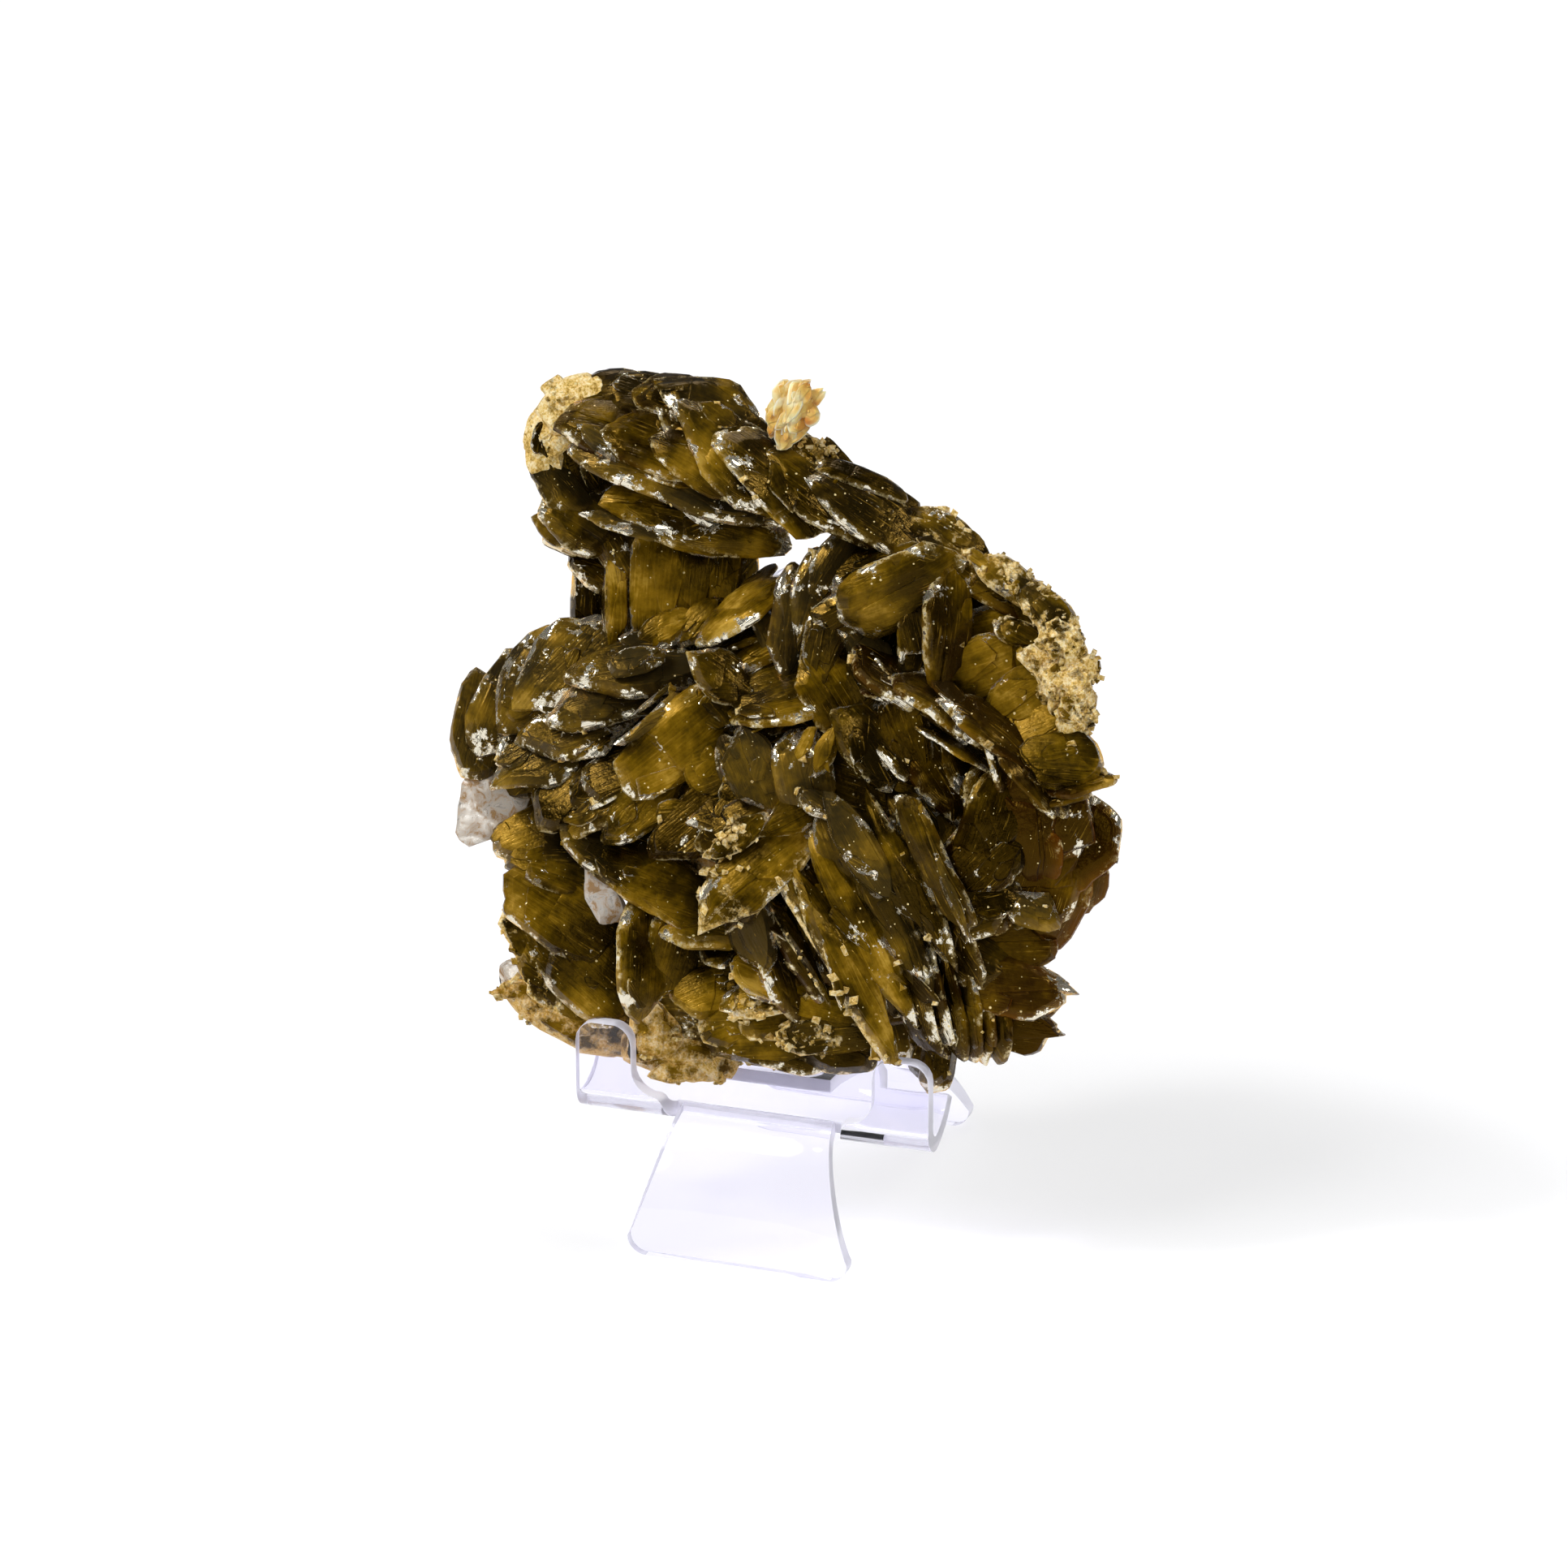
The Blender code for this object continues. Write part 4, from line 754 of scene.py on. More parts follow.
NECK = (
    (2, OLIVE, (-23.6, 17.5, 6, 88, -15, 0, 13, 5.5, 2.4, 3.5),
     (-20.2, 15.8, 9, 88, -10, 0, 14, 4.2, 2.8, 3.0)),
    (1, GOLD, (-20.3, 16.6, 10.5, 89, -10, 0, 13, 3.4, 2.4, 3.4)),
    (3, GOLD, (-14.8, 17.2, 9.5, 86, 5, 0, 17, 8.0, 2.6, 4.5),
     (-6.8, 18.4, 7, 84, 0, 0, 14, 5.5, 2.4, 4.0)),
    (1, PAINTED_SHEEN, (-3.8, 18.6, 6, 88, 0, 0, 11, 2.6, 2.2, 2.5)),
    (1, DARK, (-20.0, 23.6, 10, -60, 10, 0, 13, 7, 2.4, 2.2)),
    (2, HONEY, (-14, 12.6, 11, 30, 20, 0, 10, 5, 2.0, 1.5),
     (-10, 13.6, 10, 45, 20, 0, 9, 4.5, 2.0, 1.5)),
)


def fan_blades(fans):
    """The blades of each fan from its first to its last, evenly, and the look of each."""
    blades, looks = [], []
    for count, look, first, *rest in fans:
        share = np.linspace(0, 1, count)[:, None]
        last = rest[0] if rest else first
        blades += [*(np.array(first) * (1 - share) + np.array(last) * share)]
        looks += [look] * count
    return blades, looks


stand_for_cluster(sheets_object("siderite_crest", *fan_blades(CREST), 21, siderite))
stand_for_cluster(sheets_object("siderite_neck", *fan_blades(NECK), 22, siderite, fillers=0))

# ------------------------------------------------------------------ siderite: upper right
#
# Steep lenses that stand out of the upper right, the bowl of broad honey plates behind them,
# and the ridge of edge-on blades that closes the bowl.  The bowl's rim is crusted.

UPPER_RIGHT = (
    (2, HONEY, (-4.5, 15, 13, 33, 62, 0, 20, 9, 2.2, 1.5),
     (-2.0, 10.5, 12, 28, 45, 0, 15, 8, 2.0, 1.6)),
    (3, PAINTED_SHEEN, (7.0, 20, 13, 60, -20, 0, 15, 6.6, 2.0, 1.7),
     (1.5, 12.5, 14, 84, -25, 0, 17, 7, 2.2, 1.7)),
    (1, OLIVE, (5.2, 10.0, 15, 80, 10, 0, 14, 6, 2.2, 1.8)),
    (2, OLIVE, (14, 16.8, 15, 22, -28, 0, 20, 11, 3.4, 1.7),
     (13.7, 20.2, 12, 14, 25, 0, 18, 8.4, 2.4, 1.8)),
    (2, OLIVE, (20.4, 11.6, 14, 84, -35, 0, 18, 8, 2.4, 1.6),
     (17.5, 11, 12, 76, -20, 0, 15, 7, 2.0, 1.7)),
    (1, PAINTED_SHEEN, (11, 10, 13, -50, 20, 0, 10, 5, 1.8, 1.5)),
)
BOWL = (
    (1, DARK, (27.6, 17.0, 9, -32, 35, 0, 15, 7, 2.0, 2.0)),
    (1, DUSTED, (22.4, 19.6, 10, -34, 30, 10, 13, 4.5, 2.6, 2.2)),
    (2, DUSTED, (28.0, 18.4, 11, -37, 25, 15, 12, 5, 2.6, 2.2),
     (32.4, 14.9, 12, -40, 20, 20, 11, 5, 2.6, 2.2)),
    (3, CRUST, (34.4, 11.2, 13, -66, 10, 20, 9, 5.0, 2.8, 2.2),
     (36.2, 2.2, 13, 84, 0, 20, 10, 5.0, 2.8, 2.2)),
    (1, GOLD, (27.6, 7.4, 9, 12, 5, 15, 21, 18, 2.6, 2.3)),
    (2, GOLD, (24.6, 7.5, 11, 20, -5, 10, 11, 8.5, 2.2, 2.4),
     (29.5, 4.0, 11, 30, 5, 10, 11, 7, 2.2, 2.2)),
    (1, GOLD, (32, 1.5, 11, 25, 30, 10, 15, 8, 2.2, 2.0)),
    (3, DARK, (26.5, -11.0, 12, 72, -10, 0, 15, 10, 2.2, 1.8),
     (23.0, -21, 12, 20, 10, 0, 14, 10, 2.2, 1.9)),
    (2, DARK, (21, -6, 11, -60, 25, 0, 18, 10, 2.2, 1.8), (17, -13, 12, -70, 20, 0, 17, 9, 2.0, 1.8)),
)
RIDGE = (
    (3, DARK, (13.5, 6.5, 14, -38, 58, 0, 15, 9, 2.0, 1.7),
     (26.5, 0.0, 14, -36, 58, 0, 18, 10, 2.0, 1.7)),
    (1, DARK, (31, -6.0, 14, -50, 55, 0, 14, 8, 2.0, 1.7)),
    (2, OLIVE, (6.5, 4.5, 15, -60, 15, 0, 14, 9, 2.0, 1.8),
     (10.5, -1.5, 16, -55, 30, 0, 14, 8, 2.0, 1.7)),
    (1, DARK, (15.5, -1.5, 14, -70, -5, 0, 14, 8, 2.0, 1.7)),
)
stand_for_cluster(sheets_object("siderite_upper_right", *fan_blades(UPPER_RIGHT), 31, siderite))
stand_for_cluster(sheets_object("siderite_bowl", *fan_blades(BOWL), 32, siderite))
stand_for_cluster(sheets_object("siderite_ridge", *fan_blades(RIDGE), 33, siderite))

# ------------------------------------------------------------------- siderite: right side
#
# Broad thin plates at the right edge, red-brown where light comes through, with two spikes
# below them, and the long leaves that run down from the centre into a comb of edge-on blades.

RIGHT_SIDE = (
    (1, OLIVE, (34.0, -3.6, 14, -5, 18, 5, 11, 8, 2.6, 2.0)),
    (1, DARK, (36.2, -6.6, 13, 12, 60, 0, 10, 6, 1.8, 1.8)),
    (3, AMBER, (31.4, -12, 10, 82, 5, 15, 20, 14, 2.4, 2.3),
     (31.0, -20.9, 7, 66, -5, 10, 18, 14, 2.4, 2.3)),
    (1, PAINTED_SHEEN, (31.0, -22, 9.4, -25, 15, 0, 9, 6, 2.0, 1.4)),
    (2, AMBER, (27.8, -31.3, 8, -6, 12, 0, 19.5, 9, 2.6, 1.15),
     (29.0, -36.6, 5.5, -8, -10, 0, 13, 7, 2.4, 1.25)),
    (1, DARK, (25, -27, 8, -30, 20, 0, 17, 11, 2.6, 1.6)),
)
LONG_LEAVES = (
    (4, OLIVE, (18.6, -16.0, 16.5, -65, -30, 0, 23, 5.2, 2.2, 1.7),
     (10.0, -24.0, 15.5, -63, -18, 0, 30, 5.8, 2.2, 1.7)),
    (1, PAINTED_SHEEN, (9.8, -14.5, 18, -58, -10, 0, 17, 5.5, 2.2, 1.7)),
    (2, BROKEN, (7.8, -28, 16, -62, 28, 0, 31, 5.5, 2.6, 1.7),
     (5.2, -24.5, 15, -60, 35, 0, 25, 4.5, 2.2, 1.7)),
    (3, DARK, (3.0, -20, 14, -60, 35, 0, 21, 6, 2.2, 1.7), (0.5, -30, 11, -68, 40, 0, 18, 7, 2.2, 1.8)),
    (6, DARK, (15.5, -31.0, 12, -70, -52, 0, 21, 9, 1.7, 1.8),
     (26.0, -34.4, 6, -86, -60, 0, 14.5, 9, 1.6, 1.9)),
    (1, DARK, (20.5, -24, 12, -66, -40, 0, 18, 8, 2.0, 1.8)),
    (1, GLINT, (20.3, -18.4, 17.2, -67, 15, 0, 17, 1.6, 1.2, 2.0)),
)
stand_for_cluster(sheets_object("siderite_right_side", *fan_blades(RIGHT_SIDE), 41, siderite))
stand_for_cluster(sheets_object("siderite_long_leaves", *fan_blades(LONG_LEAVES), 42, siderite))

# ---------------------------------------------------------------------- siderite: centre
#
# The middle of the rosette: upright pages, a shelf, and broad golden planes that step down to
# the left, the most honey-coloured of all.

CENTRE = (
    (2, PAINTED_SHEEN, (-3.2, -5.0, 18, -68, 15, 0, 12, 8, 2.0, 2.2),
     (3.0, -5.2, 17, -78, 5, 0, 11, 8, 2.0, 2.4)),
    (1, HONEY, (5.8, -2.2, 18, 68, 20, 0, 8, 3, 2.0, 1.3)),
    (3, HONEY, (0.5, 3.0, 16, 13, 55, 0, 15, 8, 2.2, 1.6), (0.0, 6.5, 13, 20, 40, 0, 14, 8, 2.0, 1.6)),
    (1, OLIVE, (-7.4, 7.0, 16, -36, 20, 0, 12, 7, 2.4, 1.6)),
    (1, HONEY, (-12.0, -1.2, 16, 41, -12, 0, 19, 10, 2.8, 3.0)),
    (1, GLINT, (-16.2, 0.9, 18.6, 40, -35, 0, 12, 2.0, 1.2, 2.2)),
    (1, DUSTED, (-4.9, -12.8, 18.6, 38, 10, 0, 9, 3.8, 1.6, 2.4)),
    (1, HONEY, (-8.9, -3.9, 15.4, 45, 5, 0, 6, 4.2, 2.0, 1.5)),
    (2, HONEY, (-16.5, -8.8, 15, 40, 15, 0, 15, 9, 2.2, 1.7),
     (-21.5, -9.0, 14, 38, 45, 0, 16, 8, 2.0, 1.6)),
    (1, BROKEN, (-3.0, -17.3, 17, 40, 20, 0, 24, 10, 2.6, 1.6)),
    (2, OLIVE, (-10.0, -11, 16, 38, 15, 0, 16, 9, 2.4, 1.7),
     (-5.0, -11, 17, 30, 25, 0, 14, 7, 2.0, 1.7)),
    (1, OLIVE, (1.5, -10.5, 17, 28, 10, 0, 10, 5, 2.0, 1.5)),
    (1, PAINTED_SHEEN, (5.0, -9.2, 17.5, -35, 45, 0, 7, 4, 2.0, 1.5)),
)
stand_for_cluster(sheets_object("siderite_centre", *fan_blades(CENTRE), 51, siderite))

# ---------------------------------------------------------------- siderite: shoulder, flank
#
# The left shoulder is a run of rounded olive lenses with a painted grey sheen.  Below it the
# flank is knuckles and squarer slabs whose outer edge and toe are weathered to ochre.

SHOULDER = (
    (4, PAINTED_SHEEN, (-37.5, 1.2, 7, 80, -12, -15, 15, 9.4, 2.8, 2.3),
     (-26.8, 8.2, 11, 46, 15, 0, 18, 11, 2.8, 2.0)),
    (4, PAINTED_SHEEN, (-17.5, 7.8, 13, 4, 35, 0, 19, 10, 2.6, 1.7),
     (-29.0, -3.0, 11.5, 27, 35, 0, 18, 10, 2.6, 1.6)),
    (1, GLINT, (-17.7, 8.7, 15.8, 8, 35, 0, 10, 4.2, 1.4, 1.9)),
    (2, OLIVE, (-25.5, -7.5, 12, 40, 25, 0, 15, 9, 2.4, 1.9),
     (-21.5, -5.5, 13, 42, 30, 0, 14, 8, 2.0, 1.7)),
)
LEFT_FLANK = (
    (3, OLIVE, (-31.2, -13.0, 9, 20, 25, 0, 11, 8, 2.8, 2.3),
     (-27.5, -17.5, 10, -20, 30, 0, 12, 7, 2.8, 2.3)),
    (4, OLIVE, (-20.0, -14.5, 12.5, -22, 25, 0, 16, 10, 2.4, 1.8),
     (-13.0, -20.5, 12.5, -18, 30, 0, 14, 9, 2.2, 1.8)),
    (2, HONEY, (-27.3, -22.3, 11, -32, 10, 0, 17, 11, 2.8, 3.2),
     (-23.5, -30.0, 9, -42, 6, 0, 15, 11, 2.6, 3.0)),
    (3, DUSTED, (-31.0, -26.0, 7, -60, 0, 0, 12, 7, 2.8, 2.4),
     (-27.0, -33, 6, -50, 10, 0, 13, 8, 2.8, 2.4)),
    (1, RUSTY, (-26.0, -36.2, 5, -30, 15, 0, 19, 6.5, 3.2, 2.4)),
    (2, OLIVE, (-16.8, -28.5, 13, 88, -40, 0, 18, 9, 2.8, 1.6),
     (-13.5, -27.5, 11, 75, -30, 0, 15, 8, 2.4, 1.7)),
)
stand_for_cluster(sheets_object("siderite_shoulder", *fan_blades(SHOULDER), 61, siderite))
stand_for_cluster(sheets_object("siderite_left_flank", *fan_blades(LEFT_FLANK), 62, siderite))

# ------------------------------------------------------------------------ siderite: base
#
# The foot that stands in the easel's trough: blocks with broken, crusted lower edges round a
# dark hollow.

BASE = (
    (1, PAINTED_SHEEN, (-3.5, -24, 14.5, -68, -30, 0, 13, 7, 2.2, 1.6)),
    (1, HONEY, (-9.5, -24.6, 12, -6, 50, 0, 13, 8, 2.2, 1.7)),
    (2, HONEY, (-8.2, -32, 9, 22, 20, 0, 13, 8, 2.2, 1.7),
     (-1.0, -30.5, 11, -25, 30, 0, 11, 7, 2.0, 1.8)),
    (1, OLIVE, (-0.5, -36.6, 7, 4, -8, 0, 20, 10, 3.4, 3.5)),
    (3, BROKEN, (-5.5, -36.0, 8.5, 22, 5, 0, 10, 7, 2.4, 3.0),
     (6.0, -35.0, 9, -14, -6, 0, 12, 6, 2.2, 2.6)),
    (2, DUSTED, (-1.0, -33.2, 10, 12, 30, 0, 11, 4.5, 2.0, 2.4),
     (5.0, -37.5, 9, 8, -10, 0, 11, 5, 2.0, 2.6)),
    (1, DUSTED, (8.3, -36.8, 7.5, 8, -10, 0, 11, 7, 3.0, 3.0)),
    (1, RUSTY, (-12.5, -39.6, 5, -14, 10, 0, 16, 9, 3.4, 2.8)),
    (1, RUSTY, (-15.5, -37.2, 7, 80, 0, 0, 10, 8, 3.0, 2.6)),
    (1, DARK, (7.5, -40.0, 5, -10, 0, 0, 10, 6, 2.8, 2.5)),
    (1, DARK, (19.6, -39.5, 6, 88, 0, 0, 11, 5, 3.0, 2.4)),
)
stand_for_cluster(sheets_object("siderite_base", *fan_blades(BASE), 71, siderite))

# ------------------------------------------------------------------------ siderite: back
#
# The side that was broken off its rock: a looser growth of larger blades at all angles,
# duller and more rusted than the front.

BACK_SEED = 7
BACK_BLADES = 84
BACK_REACH = (33.5, 27)      # of the ellipse they stand on: to the right, and up
BACK_MIDDLE = (-0.6, -11)
GOLDEN_TURN = 0.618          # from each blade to the next
BACK_CREST = ((-26, 38.0), (33, -9.5))    # where its blades start, and how far they go
BACK_CREST_BLADES = 12
BACK_POSTS = 5
BACK_POST_PITCH = 3.4


def back_blades():
    """Blades on a spiral by the golden angle, as far out as the root of their share in all,
    then along the crest, then upright on the neck's posts."""
    dice = random.Random(BACK_SEED)
    blades = []
    for i in range(BACK_BLADES):
        angle = TAU * GOLDEN_TURN * i
        reach = math.sqrt((i + 0.5) / BACK_BLADES)
        u = BACK_MIDDLE[0] + BACK_REACH[0] * reach * math.cos(angle)
        v = BACK_MIDDLE[1] + BACK_REACH[1] * reach * math.sin(angle)
        lift = 1.5 + 1.5 * reach ** 4 + dice.uniform(-0.6, 0.6)
        heading = math.degrees(angle) + dice.uniform(-50, 50)
        roll = dice.choice((-1, 1)) * dice.uniform(8, 38)
        size = dice.uniform(9, 18)
        blades.append((u, v, lift, heading, roll, 0, size, size * 0.58, 2.2, dice.uniform(1.6, 2.6)))
    for i in range(BACK_CREST_BLADES):
        t = i / (BACK_CREST_BLADES - 1)
        u, v = (start + way * t for start, way in zip(*BACK_CREST))
        heading = -20 + dice.uniform(-35, 35)
        v += dice.uniform(-2.5, 2.0)
        roll = dice.uniform(-50, -20)
        blades.append((u, v, 8.3 - 1.5 * t, heading, roll, 0, dice.uniform(9, 15), 7, 2.4, 1.9))
    for i in range(BACK_POSTS):
        u, v = -22.5 + BACK_POST_PITCH * i, 17 + dice.uniform(-2, 2)
        lift = 2.4 + dice.uniform(-0.6, 0.6)
        heading = 88 + dice.uniform(-14, 14)
        roll = dice.uniform(-35, 35)
        blades.append((u, v, lift, heading, roll, 0, dice.uniform(13, 18), 6.5, 2.2, 2.4))
    return blades


back = np.array(back_blades())
back = back[clear_of_gaps(back, GAPS[:2])]
looks = [(OLIVE, DUSTED, HONEY, PAINTED_SHEEN, RUSTY)[i % 5] for i in range(len(back))]
stand_for_cluster(sheets_object("siderite_back", back, looks, 81, siderite, fillers=0, steps=1,
                                chips=1, flat_on_back=True, sectors=20))

# ---------------------------------------------------------------- siderite: painted shade
#
# Painted shade: the colour of what lies deep in the growth, between and behind the blades in
# front, is darkened, and what stands out of it is painted a little lighter.

CELL = 1.0                   # of the grid on which the growth's front and back are found
CELLS = 100                  # along each side of it
BEYOND = 30.0                # farther out than any blade, to the front and to the back
SURFACE = 1.5                # this far out of the growth a point counts as on its surface
DEEP = 6.0                   # from there down to where the painted shade is at its darkest


def softened(grid, passes=3):
    """A grid averaged over its neighbours, so many times."""
    for _ in range(passes):
        padded = np.pad(grid, 1, mode="edge")
        grid = sum(padded[i:i + len(grid), j:j + len(grid)] for i in range(3) for j in range(3)) / 9
    return grid


def values_of(piece, name, kind, width):
    """An attribute of each of a piece's vertices, as an array so many wide."""
    values = np.zeros(len(piece.data.vertices) * width, np.float32)
    piece.data.attributes[name].data.foreach_get(kind, values)
    return values.reshape(-1, width)


to_seat = np.array(seat.inverted())
nearest, farthest = np.full((CELLS, CELLS), -BEYOND), np.full((CELLS, CELLS), BEYOND)
spots = []
for piece in grown:
    points = values_of(piece, "position", "vector", 3).astype(float) / MM
    points = points @ to_seat[:3, :3].T + to_seat[:3, 3]
    cell = (points[:, :2] / CELL + CELLS / 2).astype(int).clip(0, CELLS - 1)
    spots.append((tuple(cell.T), points[:, 2]))
for cell, out in spots:
    np.maximum.at(nearest, cell, out)
    np.minimum.at(farthest, cell, out)
bare = nearest < farthest
nearest[bare], farthest[bare] = nearest[~bare].mean(), farthest[~bare].mean()
nearest, farthest = softened(nearest), softened(farthest)
# Painted shade: each point's colour darkens with how deep it lies behind the growth's front or back, and
# lightens a little where it stands out.
for piece, (cell, out) in zip(grown, spots):
    below = np.minimum(nearest[cell] - out, out - farthest[cell])
    give(piece, "painted_shade_depth", "FLOAT", ((below + SURFACE) / DEEP).clip(-0.5, 1))

# --------------------------------------------------------------------- siderite: crumbs
#
# Druse: rhombs of siderite and dolomite a third of a millimetre to one across, that grew on
# the crusted blades and along some of the edges.

CRUMBS = 1900
CRUMB_SIZES = (0.35, 1.15)
CRUMB_DEPTH = 0.35           # none sits deeper in the growth than this
CRUMB_CRUST = 0.3            # share of ochre crust from which a blade counts as crusted
CRUMB_EDGE = 0.9             # how far out on other blades they sit, and how seldom
CRUMB_SELDOM = 0.02
CRUMB_LOOK = (0.7, 0.0, 1.0, 0.0)


def rhombs(middle, dice):
    """A rhomb of eight corners round each of the points (n x 3, millimetres): its own size and
    turned its own way, by a random unit quaternion."""
    count = len(middle)
    spread = dice.normal(size=(count, 4))
    w, x, y, z = (spread / np.linalg.norm(spread, axis=1)[:, None]).T
    turned = np.array((
        (1 - 2 * (y * y + z * z), 2 * (x * y - z * w), 2 * (x * z + y * w)),
        (2 * (x * y + z * w), 1 - 2 * (x * x + z * z), 2 * (y * z - x * w)),
        (2 * (x * z - y * w), 2 * (y * z + x * w), 1 - 2 * (x * x + y * y)),
    )).transpose(2, 0, 1)
    square = ((-0.5, -0.5), (0.5, -0.5), (0.5, 0.5), (-0.5, 0.5))
    rhomb = np.array([(x + 0.3 * y, 0.9 * y, 0.55 * z) for z in (-0.5, 0.5) for x, y in square])
    size = CRUMB_SIZES[0] + (CRUMB_SIZES[1] - CRUMB_SIZES[0]) * dice.random(count) ** 2
    return middle[:, None, :] + np.einsum("nij,pj->npi", turned, rhomb) * size[:, None, None]


dice = np.random.default_rng(101)
spots, weights = [], []
for piece in grown[1:]:
    ochre = values_of(piece, "growth", "color", 4)[:, 2]
    out = values_of(piece, "reach", "value", 1)[:, 0]
    shallow = values_of(piece, "painted_shade_depth", "value", 1)[:, 0] < CRUMB_DEPTH
    spots.append(values_of(piece, "position", "vector", 3))
    on_crust, on_edge = ochre ** 2 * (0.2 + out), CRUMB_SELDOM * (out > CRUMB_EDGE)
    weights.append(shallow * np.where(ochre > CRUMB_CRUST, on_crust, on_edge))
spots, weights = np.concatenate(spots) / MM, np.concatenate(weights).astype(float)
chosen = dice.choice(len(spots), CRUMBS, replace=False, p=weights / weights.sum())
points = kept_clear(rhombs(spots[chosen], dice), "siderite_cluster")
box_faces = np.array([(3, 2, 1, 0), (4, 5, 6, 7), (0, 1, 5, 4), (1, 2, 6, 5), (2, 3, 7, 6), (3, 0, 4, 7)])
crumbs = mesh_object("siderite_crumbs", points.reshape(-1, 3),
                     [(np.arange(CRUMBS)[:, None, None] * 8 + box_faces).reshape(-1, 4)], siderite)
tint = np.tile(CRUMB_LOOK, (CRUMBS, 1)) + dice.uniform(-1, 0, (CRUMBS, 1)) * (0, 0, 0.3, 0)
give(crumbs, "growth", "FLOAT_COLOR", np.repeat(tint, 8, axis=0))
crumbs.data.uv_layers.new(name="grain")
stand_for_cluster(crumbs)

# ---------------------------------------------------------------------- clear crystals
#
# Three pieces of clear quartz in pockets of the siderite: a cleaved plate at the left edge, a
# prism that fills a gap, and a chip at the lower left corner.

QUARTZ = {
    "quartz_plate": (-36.0, -9.0, 7, 60, 0, -10, 13.2, 10.4, 1.6, 2.6),
    "quartz_prism": (-21.9, -21.2, 12.5, -62, 5, 0, 10, 5, 2.2, 3.0),
    "quartz_chip": (-33.7, -30.6, 6.5, 60, 10, 0, 5.0, 4.2, 1.8, 2.5),
}


def quartz_finish():
    """Clear quartz, milky in veils of about 2 mm and stained beige along its healed cracks."""
    made, tree, output = fresh_material("milky_quartz")
    place = add(tree, "TexCoord").outputs["Object"]
    veil = add(tree, "TexNoise", {"Scale": 520.0, "Detail": 5.0, "Roughness": 0.7, "Distortion": 0.8},
               {0: place})
    stain = add(tree, "MapRange", {1: 0.42, 2: 0.60}, {0: veil})
    body = add(tree, "Mix", {"data_type": "RGBA", 6: linear("#fbf5ea"), 7: linear("#997443")},
               {0: stain})
    rough = add(tree, "MapRange", {1: 0.35, 2: 0.7, 3: 0.06, 4: 0.35}, {0: veil})
    clear = add(tree, "MapRange", {1: 0.36, 2: 0.58, 3: 0.80, 4: 0.14}, {0: veil})
    relief = add(tree, "Bump", {"Strength": 0.4, "Distance": 0.2 * MM}, {"Height": veil})
    shader = add(
        tree,
        "BsdfPrincipled",
        {"IOR": 1.54},
        {"Base Color": body, "Roughness": rough, "Transmission Weight": clear, "Normal": relief},
    )
    tree.links.new(shader.outputs[0], output.inputs["Surface"])
    return made


quartz = quartz_finish()
for name, blade in QUARTZ.items():
    piece = sheets_object(name + "_clear", [blade], [OLIVE], 91, quartz, whole=True, node=name,
                          cleaved=1.6)
    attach(piece, "root")
    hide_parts(name)

# ---------------------------------------------------------------------- dolomite knob
#
# A knob of cream dolomite on the crest: small curved rhombs in a bundle, stained orange by
# iron at its right side.

KNOB = (1.6, 39.0, 16, 65, 10, 0, 9.5, 6.5, 4.5, 2.2)
KNOB_PLATES = 26
KNOB_SPREAD = (3.5, 2.5)     # of its bundle, along and across


def dolomite_finish():
    """Cream dolomite, waxy to pearly, with iron stains in orange clouds of about 2.5 mm."""
    made, tree, output = fresh_material("pearly_dolomite")
    place = add(tree, "TexCoord").outputs["Object"]
    reach = add(tree, "Attribute", {"attribute_name": "reach"}).outputs["Fac"]
    rim = add(tree, "Math", {"operation": "POWER", 1: 12.0}, {0: reach})
    cloud = add(tree, "TexNoise", {"Scale": 420.0, "Detail": 4.0}, {0: place})
    body = add(tree, "ValToRGB", links={0: cloud})
    set_stops(body.color_ramp, ((0.34, "#c8812a"), (0.48, "#ecb95c"), (0.66, "#fbe5a8")))
    # A painted highlight: each plate turns pale cream towards its thin rim.
    body = add(tree, "Mix", {"data_type": "RGBA", 7: linear("#fff3cf")}, {0: rim, 6: body})
    relief = add(tree, "Bump", {"Strength": 0.5, "Distance": 0.2 * MM}, {"Height": cloud})
    shader = add(
        tree,
        "BsdfPrincipled",
        {
            "Roughness": 0.45,
            "Subsurface Radius": (1.0, 0.6, 0.3),
            "Subsurface Scale": 1.0 * MM,
            "Subsurface Weight": 0.4,
        },
        {"Base Color": body, "Normal": relief},
    )
    tree.links.new(shader.outputs[0], output.inputs["Surface"])
    return made


dolomite = dolomite_finish()
dice = np.random.default_rng(17)
# Plates on a spiral that turns by 2.4 radians from each to the next, the golden angle.
turn = np.arange(KNOB_PLATES) * 2.4
reach = np.sqrt((np.arange(KNOB_PLATES) + 0.5) / KNOB_PLATES)
heading = math.radians(KNOB[3])
x, y = KNOB_SPREAD[0] * reach * np.cos(turn), KNOB_SPREAD[1] * reach * np.sin(turn)
plates = np.stack((
    KNOB[0] + x * math.cos(heading) - y * math.sin(heading),
    KNOB[1] + x * math.sin(heading) + y * math.cos(heading),
    KNOB[2] + 1.2 * (1 - reach) + dice.uniform(-0.5, 0.5, KNOB_PLATES),
    KNOB[3] + dice.uniform(-25, 25, KNOB_PLATES),
    dice.uniform(-35, 45, KNOB_PLATES),
    dice.uniform(-20, 20, KNOB_PLATES),
    dice.uniform(3.2, 5.4, KNOB_PLATES),
    dice.uniform(1.5, 2.8, KNOB_PLATES),
    dice.uniform(0.9, 1.5, KNOB_PLATES),
    dice.uniform(1.5, 1.9, KNOB_PLATES),
), axis=-1)
knob = sheets_object("dolomite_rhombs", plates, [OLIVE] * KNOB_PLATES, 92, dolomite, fillers=0,
                     steps=1, chips=1, sectors=16, node="dolomite_knob")
